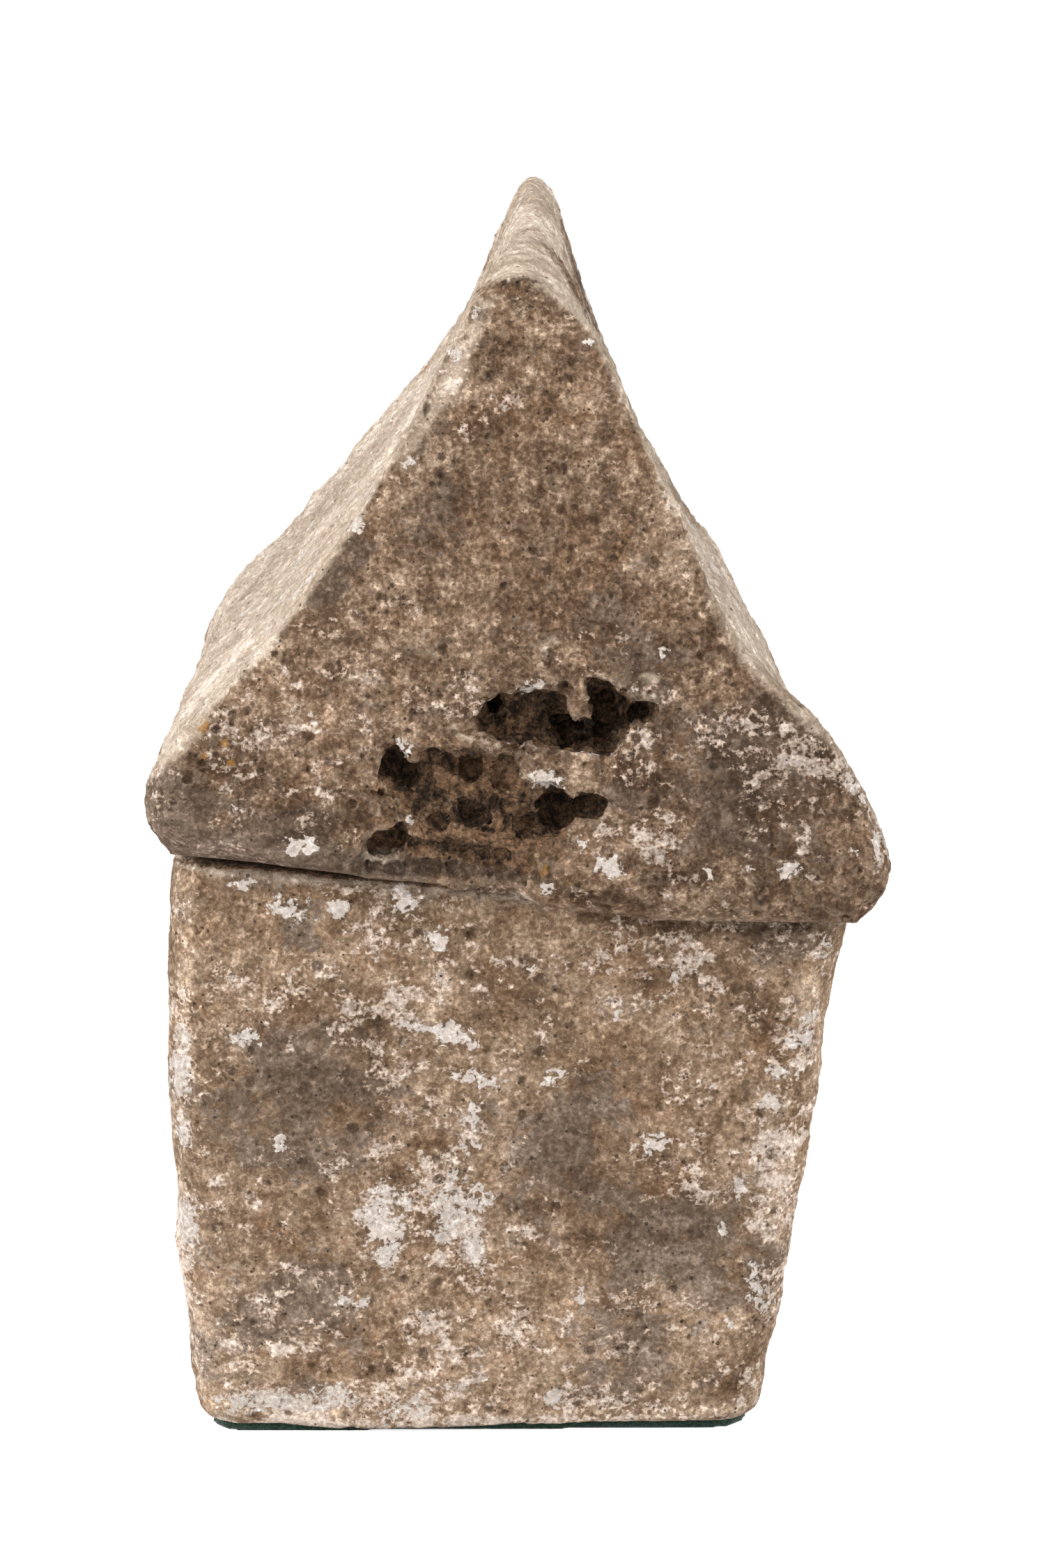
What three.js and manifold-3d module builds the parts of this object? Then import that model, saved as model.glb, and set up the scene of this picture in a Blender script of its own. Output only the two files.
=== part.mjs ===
// A lidded limestone burial urn: a hollowed chest of one stone, a steep gabled lid of one stone,
// and a felt sheet glued under the chest. Millimetres, +Z up. The worn end looks towards -Y, the
// ridge runs along Y, and the origin is on the resting surface under the middle of the urn.
import * as THREE from "three";
import { mergeVertices } from "three/addons/utils/BufferGeometryUtils.js";
import Module from "manifold-3d";

const wasm = await Module();
wasm.setup();

// Chest, measured over the stone. The rim falls from the left side to the right side.
const CHEST_WIDTH = 310;
const CHEST_LENGTH = 362;
const CHEST_HEIGHT = 260;
const RIM_FALL = 29;
const BASE_WIDTH = 265;
const BASE_LENGTH = 352;
const BASE_OFFSET = -16;
const BELLY = 7;
const CHEST_OFFSET = -3;
const CHEST_TURN_DEGREES = 1;
const CORNER_ROUND = 24;
const BASE_ROUND = 6;
const RIM_ROUND = 6;

// Cavity cut down into the chest.
const WALL = 42;
const FLOOR = 50;
const CAVITY_CORNER_ROUND = 32;
const CAVITY_FLOOR_ROUND = 18;

// Lid, measured over the stone. Its height is the ridge above the bed that it rests on.
const LID_WIDTH = 330;
const LID_LENGTH = 400;
const LID_HEIGHT = 286;
const FACE_LEAN = 12;
const ARRIS_ROUND = 5;
const LIP_ROUND = 22;
const LIP_HEIGHT = 90;
const SEAT_GAP = 0.3;

// Shallow hollow in the bed of the lid, over the cavity.
const HOLLOW_DEPTH = 36;
const HOLLOW_TAPER = 14;
const HOLLOW_ROUND = 16;

// How fast the flared outline of the worn end gives way to the rear one along the ridge.
const FRONT_FADE = 3;

// Deepest of the pits that weather has opened in the worn end.
const PIT_DEPTH = 38;

// Felt sheet, cut to the flat part of the base.
const FELT_THICKNESS = 4;

// The slow swell that a point chisel leaves in a dressed face, and the dents that weather adds.
const SWELL_HEIGHT = 1.8;
const SWELL_SPAN = 46;
const DENT_HEIGHT = 3.4;
const DENT_SPAN = 7.4;
const CALM_BAND = 26;

// A cut runs past the surface that it opens by this much.
const OVERRUN = 10;

// Outlines of the lid's two ends, from the left bed corner over the ridge to the right one.
// Each point is a share of half the lid's width and a share of its height.
const FRONT_OUTLINE_SHARES = [
  [-0.95, 0],
  [-1, 0.045],
  [-1, 0.11],
  [-0.95, 0.175],
  [-0.79, 0.29],
  [-0.575, 0.447],
  [-0.33, 0.683],
  [-0.15, 0.885],
  [-0.1, 0.94],
  [0.03, 0.975],
  [0.19, 0.92],
  [0.315, 0.79],
  [0.475, 0.6],
  [0.61, 0.432],
  [0.75, 0.363],
  [0.9, 0.27],
  [1.02, 0.138],
  [1.02, 0.055],
  [0.95, 0],
];
const REAR_OUTLINE_SHARES = [
  [-0.87, 0],
  [-0.95, 0.04],
  [-0.985, 0.1],
  [-0.91, 0.19],
  [-0.72, 0.307],
  [-0.475, 0.485],
  [-0.19, 0.705],
  [-0.03, 0.93],
  [0.05, 1],
  [0.14, 0.95],
  [0.235, 0.775],
  [0.375, 0.59],
  [0.535, 0.427],
  [0.65, 0.338],
  [0.75, 0.236],
  [0.86, 0.118],
  [0.9, 0.045],
  [0.87, 0],
];

// Rounded cuts that open the worn end: a broad shallow basin, then the pits. Each row is the cut's
// place across and up the face, its half width and half height, and its depth: shares of half the
// lid's width, the lid's height, the same two again, and the pit depth.
const PIT_SHARES = [
  [-0.1, 0.155, 0.28, 0.09, 0.4],
  [-0.05, 0.285, 0.12, 0.034, 0.6],
  [0.1, 0.295, 0.13, 0.045, 1],
  [0.06, 0.33, 0.09, 0.026, 0.5],
  [0.28, 0.315, 0.095, 0.055, 0.95],
  [0.34, 0.34, 0.05, 0.022, 0.4],
  [-0.34, 0.228, 0.06, 0.03, 0.6],
  [-0.19, 0.2, 0.16, 0.04, 0.6],
  [0.14, 0.136, 0.11, 0.028, 0.65],
  [-0.22, 0.07, 0.17, 0.03, 0.5],
  [-0.02, 0.085, 0.12, 0.03, 0.45],
];

// Counts of flat steps.
const CORNER_STEPS = 5;
const SIDE_STEPS = 22;
const ROUND_STEPS = 4;
const OUTLINE_STEPS = 58;
const BED_STEPS = 14;
const CHEST_LEVELS = 20;
const CAVITY_LEVELS = 4;
const LID_LEVELS = 30;
const PIT_STEPS = 12;

// Rings inside an end face of the lid, as shares of the way from its middle to its edge.
const FACE_RING_SHARES = [0.1, 0.22, 0.34, 0.46, 0.57, 0.68, 0.78, 0.88, 0.96];
const FACE_MIDDLE_SHARES = [0.03, 0.36];
// Turns of the swell along X, Y and Z in one span, for each of its waves, and of the dents.
const SWELL_WAVE_SHARES = [
  [1.1, 0.6, 0.4],
  [-0.5, 1.2, 0.9],
  [0.7, -0.8, 1.3],
];
const DENT_WAVE_SHARES = [
  [1.13, 0.31, 0.22],
  [-0.42, 1.05, 0.37],
  [0.28, -0.39, 1.09],
  [0.74, 0.71, -0.52],
  [-0.81, 0.47, 0.63],
  [0.36, 0.83, 0.77],
];

const { lerp, smoothstep, degToRad } = THREE.MathUtils;
const QUARTER = Math.PI / 2;

// Height of the seat between chest and lid above the chest's base, at one place across it.
const seatHeight = (x) => CHEST_HEIGHT - (RIM_FALL * (x - CHEST_OFFSET)) / CHEST_WIDTH;

// How far the dressed surface stands out at a point.
function relief(shares, height, span, x, y, z) {
  const waves = shares.map(([a, b, c]) => Math.sin((a * x + b * y + c * z) / span));
  return (height * waves.reduce((sum, wave) => sum + wave)) / waves.length;
}

const swell = (x, y, z) =>
  relief(SWELL_WAVE_SHARES, SWELL_HEIGHT, SWELL_SPAN, x, y, z) +
  relief(DENT_WAVE_SHARES, DENT_HEIGHT, DENT_SPAN, x, y, z);

// Skins rings of points into one closed solid, with a fan on the first and the last ring.
function loft(rings) {
  const count = rings[0].length;
  const middle = (ring) => ring.reduce((sum, p) => sum.add(p), new THREE.Vector3()).divideScalar(count);
  const points = [...rings.flat(), middle(rings[0]), middle(rings.at(-1))];
  const index = [];
  for (let i = 0; i < count; i++) {
    const next = (i + 1) % count;
    for (let k = 0; k + 1 < rings.length; k++) {
      const [a, b] = [k * count + i, k * count + next];
      const [c, d] = [b + count, a + count];
      index.push(a, b, c, a, c, d);
    }
    const last = (rings.length - 1) * count;
    index.push(points.length - 2, next, i, points.length - 1, last + i, last + next);
  }
  return new THREE.BufferGeometry().setFromPoints(points).setIndex(index);
}

// A closed geometry as a solid that can be cut, and back.
function toSolid(geometry) {
  geometry.deleteAttribute("normal");
  geometry.deleteAttribute("uv");
  const merged = mergeVertices(geometry);
  const vertProperties = merged.attributes.position.array;
  return new wasm.Manifold(
    new wasm.Mesh({ numProp: 3, vertProperties, triVerts: new Uint32Array(merged.index.array) }),
  );
}

function toGeometry(solid) {
  const mesh = solid.getMesh();
  const geometry = new THREE.BufferGeometry();
  geometry.setAttribute("position", new THREE.BufferAttribute(new Float32Array(mesh.vertProperties), 3));
  geometry.setIndex(new THREE.BufferAttribute(new Uint32Array(mesh.triVerts), 1));
  geometry.computeVertexNormals();
  return geometry;
}

// A rectangle with round corners as a closed outline, counterclockwise from above.
function roundedOutline(width, length, round) {
  const signs = [
    [1, -1],
    [1, 1],
    [-1, 1],
    [-1, -1],
  ];
  const arcs = signs.map(([sx, sy], corner) => {
    const middle = new THREE.Vector2(sx * (width / 2 - round), sy * (length / 2 - round));
    return Array.from({ length: CORNER_STEPS + 1 }, (_, step) => {
      const angle = (corner - 1 + step / CORNER_STEPS) * QUARTER;
      return new THREE.Vector2(round * Math.cos(angle), round * Math.sin(angle)).add(middle);
    });
  });
  return arcs.flatMap((arc, corner) => {
    const end = arc.at(-1);
    const start = arcs[(corner + 1) % arcs.length][0];
    const side = Array.from({ length: SIDE_STEPS - 1 }, (_, step) =>
      end.clone().lerp(start, (step + 1) / SIDE_STEPS),
    );
    return [...arc, ...side];
  });
}

// One level of the chest: `inset` is the depth under the outer face, `rise` the share of the way
// from the base to the rim, `dressed` how much of the swell shows.
function chestRing(inset, rise, round, dressed) {
  const belly = BELLY * Math.sin(rise * Math.PI);
  const width = lerp(BASE_WIDTH, CHEST_WIDTH, rise) + belly - 2 * inset;
  const length = lerp(BASE_LENGTH, CHEST_LENGTH, rise) - 2 * inset;
  const middle = new THREE.Vector2(CHEST_OFFSET + lerp(BASE_OFFSET, 0, rise) - belly / 2, 0);
  const outline = roundedOutline(width, length, round);
  return outline.map((point) => {
    const flat = point.clone().rotateAround(new THREE.Vector2(), degToRad(CHEST_TURN_DEGREES));
    const out = flat.clone().normalize();
    flat.add(middle);
    flat.addScaledVector(out, dressed * swell(flat.x, flat.y, rise * CHEST_HEIGHT));
    return new THREE.Vector3(flat.x, flat.y, rise * seatHeight(flat.x));
  });
}

// Steps of a quarter round, each as how far it has turned in and how far it has gone along.
const quarterSteps = (radius) =>
  Array.from({ length: ROUND_STEPS + 1 }, (_, step) => {
    const angle = (step / ROUND_STEPS) * QUARTER;
    return { inset: radius * (1 - Math.sin(angle)), along: radius * (1 - Math.cos(angle)) };
  });

function chestGeometry() {
  const calm = CALM_BAND / CHEST_HEIGHT;
  const baseEdge = quarterSteps(BASE_ROUND).map(({ inset, along }) =>
    chestRing(inset, along / CHEST_HEIGHT, CORNER_ROUND - inset, 0),
  );
  const low = BASE_ROUND / CHEST_HEIGHT;
  const high = 1 - RIM_ROUND / CHEST_HEIGHT;
  const walls = Array.from({ length: CHEST_LEVELS - 1 }, (_, level) => {
    const rise = lerp(low, high, (level + 1) / CHEST_LEVELS);
    return chestRing(0, rise, CORNER_ROUND, smoothstep(rise, 0, calm) * smoothstep(1 - rise, 0, calm));
  });
  const rimEdge = quarterSteps(RIM_ROUND);
  const outerRim = rimEdge
    .toReversed()
    .map(({ inset, along }) => chestRing(inset, 1 - along / CHEST_HEIGHT, CORNER_ROUND - inset, 0));
  const innerRim = rimEdge.map(({ inset, along }) =>
    chestRing(WALL - inset, 1 - along / CHEST_HEIGHT, CAVITY_CORNER_ROUND + inset, 0),
  );
  const floor = (FLOOR + CAVITY_FLOOR_ROUND) / CHEST_HEIGHT;
  const cavity = Array.from({ length: CAVITY_LEVELS - 1 }, (_, level) => {
    const rise = lerp(high, floor, (level + 1) / CAVITY_LEVELS);
    return chestRing(WALL, rise, CAVITY_CORNER_ROUND, 0);
  });
  const floorEdge = quarterSteps(CAVITY_FLOOR_ROUND)
    .toReversed()
    .map(({ inset, along }) =>
      chestRing(WALL + inset, (FLOOR + along) / CHEST_HEIGHT, CAVITY_CORNER_ROUND - inset, 0),
    );
  return loft([...baseEdge, ...walls, ...outerRim, ...innerRim, ...cavity, ...floorEdge]);
}

// The felt fills the flat of the base, inside its rounded edge.
function feltGeometry() {
  const flat = chestRing(BASE_ROUND, 0, CORNER_ROUND - BASE_ROUND, 0);
  const top = flat.map((point) => point.clone().setZ(FELT_THICKNESS));
  return loft([flat, top]);
}

// The lid's outline at a share of the way from its front to its rear: X across, Y above the bed.
function lidOutline(share) {
  const place = ([across, up]) => new THREE.Vector2((across * LID_WIDTH) / 2, up * LID_HEIGHT);
  const [front, rear] = [FRONT_OUTLINE_SHARES, REAR_OUTLINE_SHARES].map(
    (shares) => new THREE.SplineCurve(shares.map(place)),
  );
  const roof = Array.from({ length: OUTLINE_STEPS + 1 }, (_, step) => {
    const along = step / OUTLINE_STEPS;
    return front.getPoint(along).lerp(rear.getPoint(along), share);
  });
  const [left, right] = [roof[0], roof.at(-1)];
  const bed = Array.from({ length: BED_STEPS - 1 }, (_, step) =>
    right.clone().lerp(left, (step + 1) / BED_STEPS),
  );
  return [...roof, ...bed];
}

// The lid's face leans in by this much at a height above the bed.
const leanAt = (height) => (FACE_LEAN * height) / LID_HEIGHT;
const edgeRound = (height) => lerp(LIP_ROUND, ARRIS_ROUND, smoothstep(height, 0, LIP_HEIGHT));

// A ring of the lid from its outline at `share`. `turn` runs from 0 at the end face to 1 where the
// rounded edge ends, and `spread` draws the ring in towards the middle of the face.
function lidRing(share, turn, spread) {
  const end = share < 1 / 2 ? -1 : 1;
  const [across, up] = FACE_MIDDLE_SHARES;
  const middle = new THREE.Vector2((across * LID_WIDTH) / 2, up * LID_HEIGHT);
  return lidOutline(1 - (1 - share) ** FRONT_FADE).map((point) => {
    const round = edgeRound(point.y);
    const inward = middle.clone().sub(point).normalize();
    const flat = point.clone().addScaledVector(inward, round * (1 - Math.sin(turn * QUARTER)));
    flat.lerp(middle, 1 - spread);
    const reach = LID_LENGTH / 2 - leanAt(flat.y) - round * (1 - Math.cos(turn * QUARTER));
    const along = share === 0 || share === 1 ? end * reach : lerp(-1, 1, share) * reach;
    const lift = swell(flat.x, along, flat.y);
    flat.addScaledVector(inward, -lift * turn * smoothstep(flat.y, 0, CALM_BAND));
    const y = along + end * lift * (1 - turn);
    return new THREE.Vector3(flat.x, y, seatHeight(flat.x) + SEAT_GAP + flat.y);
  });
}

function lidBlock() {
  const endRings = (share) => [
    ...FACE_RING_SHARES.map((spread) => lidRing(share, 0, spread)),
    ...Array.from({ length: ROUND_STEPS + 1 }, (_, step) => lidRing(share, step / ROUND_STEPS, 1)),
  ];
  const between = Array.from({ length: LID_LEVELS - 1 }, (_, level) =>
    lidRing((level + 1) / LID_LEVELS, 1, 1),
  );
  return toSolid(loft([...endRings(0), ...between, ...endRings(1).toReversed()]));
}

// The hollow in the bed, as a cutter that follows the bed's slope.
function lidHollow() {
  const width = CHEST_WIDTH - 2 * WALL;
  const length = CHEST_LENGTH - 2 * WALL;
  const level = (inset, height) =>
    roundedOutline(width - 2 * inset, length - 2 * inset, CAVITY_CORNER_ROUND - inset).map(
      ({ x, y }) =>
        new THREE.Vector3(x + CHEST_OFFSET, y, seatHeight(x + CHEST_OFFSET) + SEAT_GAP + height),
    );
  const roof = quarterSteps(HOLLOW_ROUND)
    .toReversed()
    .map(({ inset, along }) => level(HOLLOW_TAPER + inset, HOLLOW_DEPTH - along));
  return toSolid(loft([level(0, -OVERRUN), level(0, 0), ...roof]));
}

// Every pit as one cutter.
function lidPits() {
  const pits = PIT_SHARES.map(([across, up, halfWidth, halfHeight, depth]) => {
    const x = (across * LID_WIDTH) / 2;
    const height = up * LID_HEIGHT;
    const pit = new THREE.SphereGeometry(1, PIT_STEPS, PIT_STEPS);
    pit.scale((halfWidth * LID_WIDTH) / 2, depth * PIT_DEPTH, halfHeight * LID_HEIGHT);
    pit.translate(x, leanAt(height) - LID_LENGTH / 2, seatHeight(x) + height);
    return toSolid(pit);
  });
  return wasm.Manifold.union(pits);
}

const lidGeometry = () => toGeometry(lidBlock().subtract(lidHollow()).subtract(lidPits()));

const limestone = new THREE.MeshStandardMaterial({ color: "#8f7d69", roughness: 0.95, metalness: 0 });
const lidStone = limestone.clone();
lidStone.color.set("#8a7864");
const felt = new THREE.MeshStandardMaterial({ color: "#1d3526", roughness: 1, metalness: 0 });

function named(name, geometry, material, height) {
  const mesh = new THREE.Mesh(geometry, material);
  mesh.name = name;
  mesh.position.z = height;
  return mesh;
}

const urn = new THREE.Group();
urn.add(
  named("base_felt", feltGeometry(), felt, 0),
  named("chest", chestGeometry(), limestone, FELT_THICKNESS),
  named("lid", lidGeometry(), lidStone, FELT_THICKNESS),
);

// Hand-dressed stone isn't even, so the urn is moved to stand with its middle over the origin.
const middle = new THREE.Box3().setFromObject(urn).getCenter(new THREE.Vector3());
urn.position.set(-middle.x, -middle.y, 0);

export default urn;
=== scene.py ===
from functools import partial
from math import cos, pi, radians, sin

import bmesh
import bpy
import numpy as np
from mathutils import Matrix, Vector, noise
from mathutils.bvhtree import BVHTree


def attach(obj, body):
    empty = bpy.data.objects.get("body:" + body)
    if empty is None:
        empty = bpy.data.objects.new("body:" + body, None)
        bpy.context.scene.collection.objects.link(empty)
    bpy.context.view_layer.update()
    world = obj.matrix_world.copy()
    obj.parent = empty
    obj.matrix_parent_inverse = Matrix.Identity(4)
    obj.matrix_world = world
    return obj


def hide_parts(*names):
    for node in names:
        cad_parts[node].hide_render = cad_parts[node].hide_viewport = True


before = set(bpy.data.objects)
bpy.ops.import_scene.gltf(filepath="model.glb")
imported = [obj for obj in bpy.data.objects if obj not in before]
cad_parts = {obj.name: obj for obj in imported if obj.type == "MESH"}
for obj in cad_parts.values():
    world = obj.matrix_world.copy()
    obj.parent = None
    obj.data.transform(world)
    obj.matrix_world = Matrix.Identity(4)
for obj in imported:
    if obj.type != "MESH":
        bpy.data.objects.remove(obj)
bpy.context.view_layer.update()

MM = 0.001

# The view of the urn: from its worn end, a little above its ridge, through a long lens. Places on
# the stone are given by where they lie in this view, in pixels of a frame 1500 wide and 2250 high.
# At the worn end a millimetre is about 3.2 pixels.
VIEW_PLACE = Vector((0.0018, -2.074, 0.7833))
VIEW_PITCH = radians(13.93)
LENS_MM = 100
SENSOR_MM = 36
VIEW_PIXELS = (1500, 2250)
PIXELS_PER_SLOPE = LENS_MM / SENSOR_MM * VIEW_PIXELS[1]
PIXELS_PER_MM = 3.2

view = bpy.data.cameras.new("urn_view")
view.lens = LENS_MM
view.sensor_width = SENSOR_MM
view_object = bpy.data.objects.new("urn_view", view)
view_object.location = VIEW_PLACE
view_object.rotation_euler = (radians(90) - VIEW_PITCH, 0, 0)
bpy.context.scene.collection.objects.link(view_object)
bpy.context.scene.camera = view_object
VIEW_AXES = np.array(view_object.rotation_euler.to_matrix())


def pixel_ray(across, down):
    """The direction from the camera through one pixel."""
    slopes = Vector((across - VIEW_PIXELS[0] / 2, VIEW_PIXELS[1] / 2 - down, -PIXELS_PER_SLOPE))
    return (Matrix(VIEW_AXES.tolist()) @ slopes).normalized()


def seen_pixels(places):
    """How far to the right and how far down each place is seen, in pixels."""
    seen = (places - np.array(VIEW_PLACE)) @ VIEW_AXES
    across = VIEW_PIXELS[0] / 2 - PIXELS_PER_SLOPE * seen[:, 0] / seen[:, 2]
    down = VIEW_PIXELS[1] / 2 + PIXELS_PER_SLOPE * seen[:, 1] / seen[:, 2]
    return across, down


# The chest is one block of limestone, roughed out and dressed with a point, then hollowed. Weather
# has opened pores in it, and lime plaster, soil and a grey-brown patina lie on it in patches.
CHEST_VOXEL = 1.7 * MM
CHEST_WEAR = {
    "Dent depth": 0.6 * MM,
    "Pick depth": 1.1 * MM,
    "Pore depth": 1.1 * MM,
    "Dent span": 20 * MM,
    "Pick span": 8 * MM,
    "Pore span": 7 * MM,
    "Seed": 3.0,
}
TRIANGLES_PER_STONE = 190_000

# Rings of a cave from its mouth to its back: how deep each lies and how wide it is. The mouth stands
# out before the face by the overrun. A ball's lumps have a height and a number to its size.
CAVE_RINGS = [(-1, 1.05), (0, 1), (0.45, 0.97), (0.8, 0.86), (1, 0.6)]
CAVE_OVERRUN = 14 * MM
CUTTER_VOXEL = 1.2 * MM
BALL_BUMP = 0.6
BALL_BUMPS = 2.4
# Lumps on the skin of a hollow, as span and height in millimetres.
LUMPS = [(9, 3.4), (4.4, 3.0), (2.4, 1.6)]

# A hollow's skin, from 1 mm inside the block and over the next 5 mm, is rougher than the face.
SPONGY_FROM_MM = 1
SPONGY_OVER_MM = 5
SPONGY_EXTRA = 1.8
# A face counts as a flat bed where its normal is this near to upright and the block's own face is
# this near. Beds stay smoother.
BED_FROM = 0.7
BED_OVER = 0.2
BED_CALM = 0.8
BED_WITHIN_MM = 2

# Soil and painted shade darken the stone from this far inside the block, and hide it over the next
# stretch.
SOIL_AND_SHADE_FROM_MM = 1.5
SOIL_AND_SHADE_OVER_MM = 9
# Rain washes what leans back more than this, by the height of its normal, and the same faces get painted
# top light.
WASHED_AND_LIT_FROM = 0.29
WASHED_AND_LIT_OVER = 0.09
# A patch fades out between half and one and a half of its size, its edge has lobes, and it goes a
# little deeper into the stone than it is wide.
PATCH_EDGE = 1.5
PATCH_LOBES = 0.3
LOBE_WAVES = ((3.1, 2.2), (-1.7, 2.8))
PATCH_DEPTH = 6 * MM


def linear(colour):
    """An sRGB hex colour as linear red, green, blue and alpha."""
    levels = [int(colour[i : i + 2], 16) / 255 for i in (1, 3, 5)]
    return [c / 12.92 if c <= 0.04045 else ((c + 0.055) / 1.055) ** 2.4 for c in levels] + [1]


def add(tree, kind, inputs=(), output=0, **settings):
    """Adds a node and gives one of its outputs. `inputs` maps a socket to a value or an output."""
    node = tree.nodes.new(kind)
    for name, value in settings.items():
        setattr(node, name, value)
    for key, value in dict(inputs).items():
        if isinstance(value, bpy.types.NodeSocket):
            tree.links.new(value, node.inputs[key])
        else:
            node.inputs[key].default_value = value
    return node.outputs[output] if node.outputs else node


def weighed(tree, *pairs):
    """The sum of some patterns, each times its weight."""
    total = 0.0
    for pattern, weight in pairs:
        part = add(tree, "ShaderNodeMath", {0: pattern, 1: weight}, operation="MULTIPLY")
        total = add(tree, "ShaderNodeMath", {0: part, 1: total}, operation="ADD")
    return total


def share_past(tree, low, high, *pairs):
    """How far the sum of some patterns has gone from one level to another, from 0 to 1."""
    limits = {"Value": weighed(tree, *pairs), "From Min": low, "From Max": high}
    return add(tree, "ShaderNodeMapRange", limits, interpolation_type="SMOOTHSTEP")


def weathering():
    """The Geometry Nodes tree that dents, pecks and pits a stone, always inwards."""
    tree = bpy.data.node_groups.new("weathering", "GeometryNodeTree")
    put, weigh, past = (partial(step, tree) for step in (add, weighed, share_past))
    sockets = tree.interface
    sockets.new_socket("Geometry", in_out="INPUT", socket_type="NodeSocketGeometry")
    for name in CHEST_WEAR:
        sockets.new_socket(name, in_out="INPUT", socket_type="NodeSocketFloat")
    sockets.new_socket("Stone", in_out="INPUT", socket_type="NodeSocketMaterial")
    sockets.new_socket("Geometry", in_out="OUTPUT", socket_type="NodeSocketGeometry")
    given = put("NodeGroupInput").node.outputs

    place = put("GeometryNodeInputPosition")
    normal = put("GeometryNodeInputNormal")
    rough = put("GeometryNodeInputNamedAttribute", {"Name": "rough"})
    shift = put("ShaderNodeCombineXYZ", {0: given["Seed"]})
    moved = put("ShaderNodeVectorMath", {0: place, 1: shift}, operation="ADD")

    def lumps(span, detail, roughness):
        scale = put("ShaderNodeMath", {0: 1.0, 1: given[span]}, operation="DIVIDE")
        inputs = {"Vector": moved, "Scale": scale, "Detail": detail, "Roughness": roughness}
        return past(0.3, 0.7, (put("ShaderNodeTexNoise", inputs, noise_dimensions="3D"), 1.0))

    def pores(share, rarity):
        scale = put("ShaderNodeMath", {0: share, 1: given["Pore span"]}, operation="DIVIDE")
        cells = {"Vector": moved, "Scale": scale, "Randomness": 1.0}
        away = put("ShaderNodeTexVoronoi", cells, voronoi_dimensions="3D", feature="F1")
        chance = put("FunctionNodeSeparateColor", {0: away.node.outputs["Color"]})
        width = weigh((past(rarity, 1.0, (chance, 1.0)), 0.42))
        return past(0.0, 0.14, (width, 1.0), (away, -1.0))

    dents = lumps("Dent span", 4.0, 0.6)
    picks = lumps("Pick span", 5.0, 0.68)
    holes = weigh((pores(0.9, 0.8), 1.6), (pores(2.0, 0.68), 1.0))
    fine = weigh((picks, given["Pick depth"]), (holes, given["Pore depth"]))
    fine = weigh((fine, rough))
    broad = weigh((dents, given["Dent depth"]))
    broad = weigh((broad, past(0.0, 0.8, (rough, 1.0))))
    depth = weigh((broad, -1.0), (fine, -1.0))
    inwards = put("ShaderNodeVectorMath", {0: normal, "Scale": depth}, operation="SCALE")
    sunk = {"Geometry": given["Geometry"], "Offset": inwards}
    worn = put("GeometryNodeSetPosition", sunk)

    blur = {"Value": place, "Iterations": 6}
    around = put("GeometryNodeBlurAttribute", blur, data_type="FLOAT_VECTOR")
    out = put("ShaderNodeVectorMath", {0: place, 1: around}, operation="SUBTRACT")
    proud = put("ShaderNodeVectorMath", {0: out, 1: normal}, "Value", operation="DOT_PRODUCT")
    named = {"Geometry": worn, "Name": "proud", "Value": proud}
    whole = put("GeometryNodeRealizeInstances", {0: put("GeometryNodeStoreNamedAttribute", named)})
    stone = {"Geometry": whole, "Material": given["Stone"]}
    put("NodeGroupOutput", {0: put("GeometryNodeSetMaterial", stone)})
    return tree


def merged_copy(node, name):
    """A copy of a CAD solid with its loose triangles joined."""
    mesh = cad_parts[node].data.copy()
    joined = bmesh.new()
    joined.from_mesh(mesh)
    bmesh.ops.remove_doubles(joined, verts=joined.verts, dist=0.01 * MM)
    joined.to_mesh(mesh)
    joined.free()
    mesh.materials.clear()
    while mesh.uv_layers:
        mesh.uv_layers.remove(mesh.uv_layers[0])
    block = bpy.data.objects.new(name, mesh)
    bpy.context.scene.collection.objects.link(block)
    return block


def settled(block):
    """Turns an object's live modifiers into its plain mesh."""
    graph = bpy.context.evaluated_depsgraph_get()
    ready = block.evaluated_get(graph)
    mesh = bpy.data.meshes.new_from_object(ready, preserve_all_data_layers=True, depsgraph=graph)
    block.modifiers.clear()
    block.data = mesh
    return mesh


def surface_of(block):
    """A solid's surface, to cast rays at and to find the nearest place on."""
    return BVHTree.FromObject(block, bpy.context.evaluated_depsgraph_get())


def skinned(block, voxel):
    """Gives an object an even skin of small faces."""
    skin = block.modifiers.new("skin", "REMESH")
    skin.mode = "VOXEL"
    skin.voxel_size = voxel
    skin.use_smooth_shade = True
    return settled(block)


def vertex_values(mesh, name):
    """The places or the normals of a mesh's vertices, a row for each."""
    flat = np.empty(len(mesh.vertices) * 3)
    mesh.vertices.foreach_get(name, flat)
    return flat.reshape(-1, 3)


def add_ball(cutter, surface, across, down, half_width, half_height, depth, sunk):
    """A rough ball set where the view's pixel meets the stone."""
    ray = pixel_ray(across, down)
    place = surface.ray_cast(VIEW_PLACE, ray)[0] + ray * depth * sunk * MM
    wider = 1 / (1 - sunk * sunk) ** 0.5 / PIXELS_PER_MM
    shape = Vector((half_width * wider, depth, half_height * wider)) * MM
    for vert in bmesh.ops.create_icosphere(cutter, subdivisions=3, radius=1)["verts"]:
        rough = 1 + BALL_BUMP * noise.noise(vert.co * BALL_BUMPS + Vector((across, down, 0)))
        vert.co = place + Vector(a * b * rough for a, b in zip(vert.co, shape))


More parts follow.
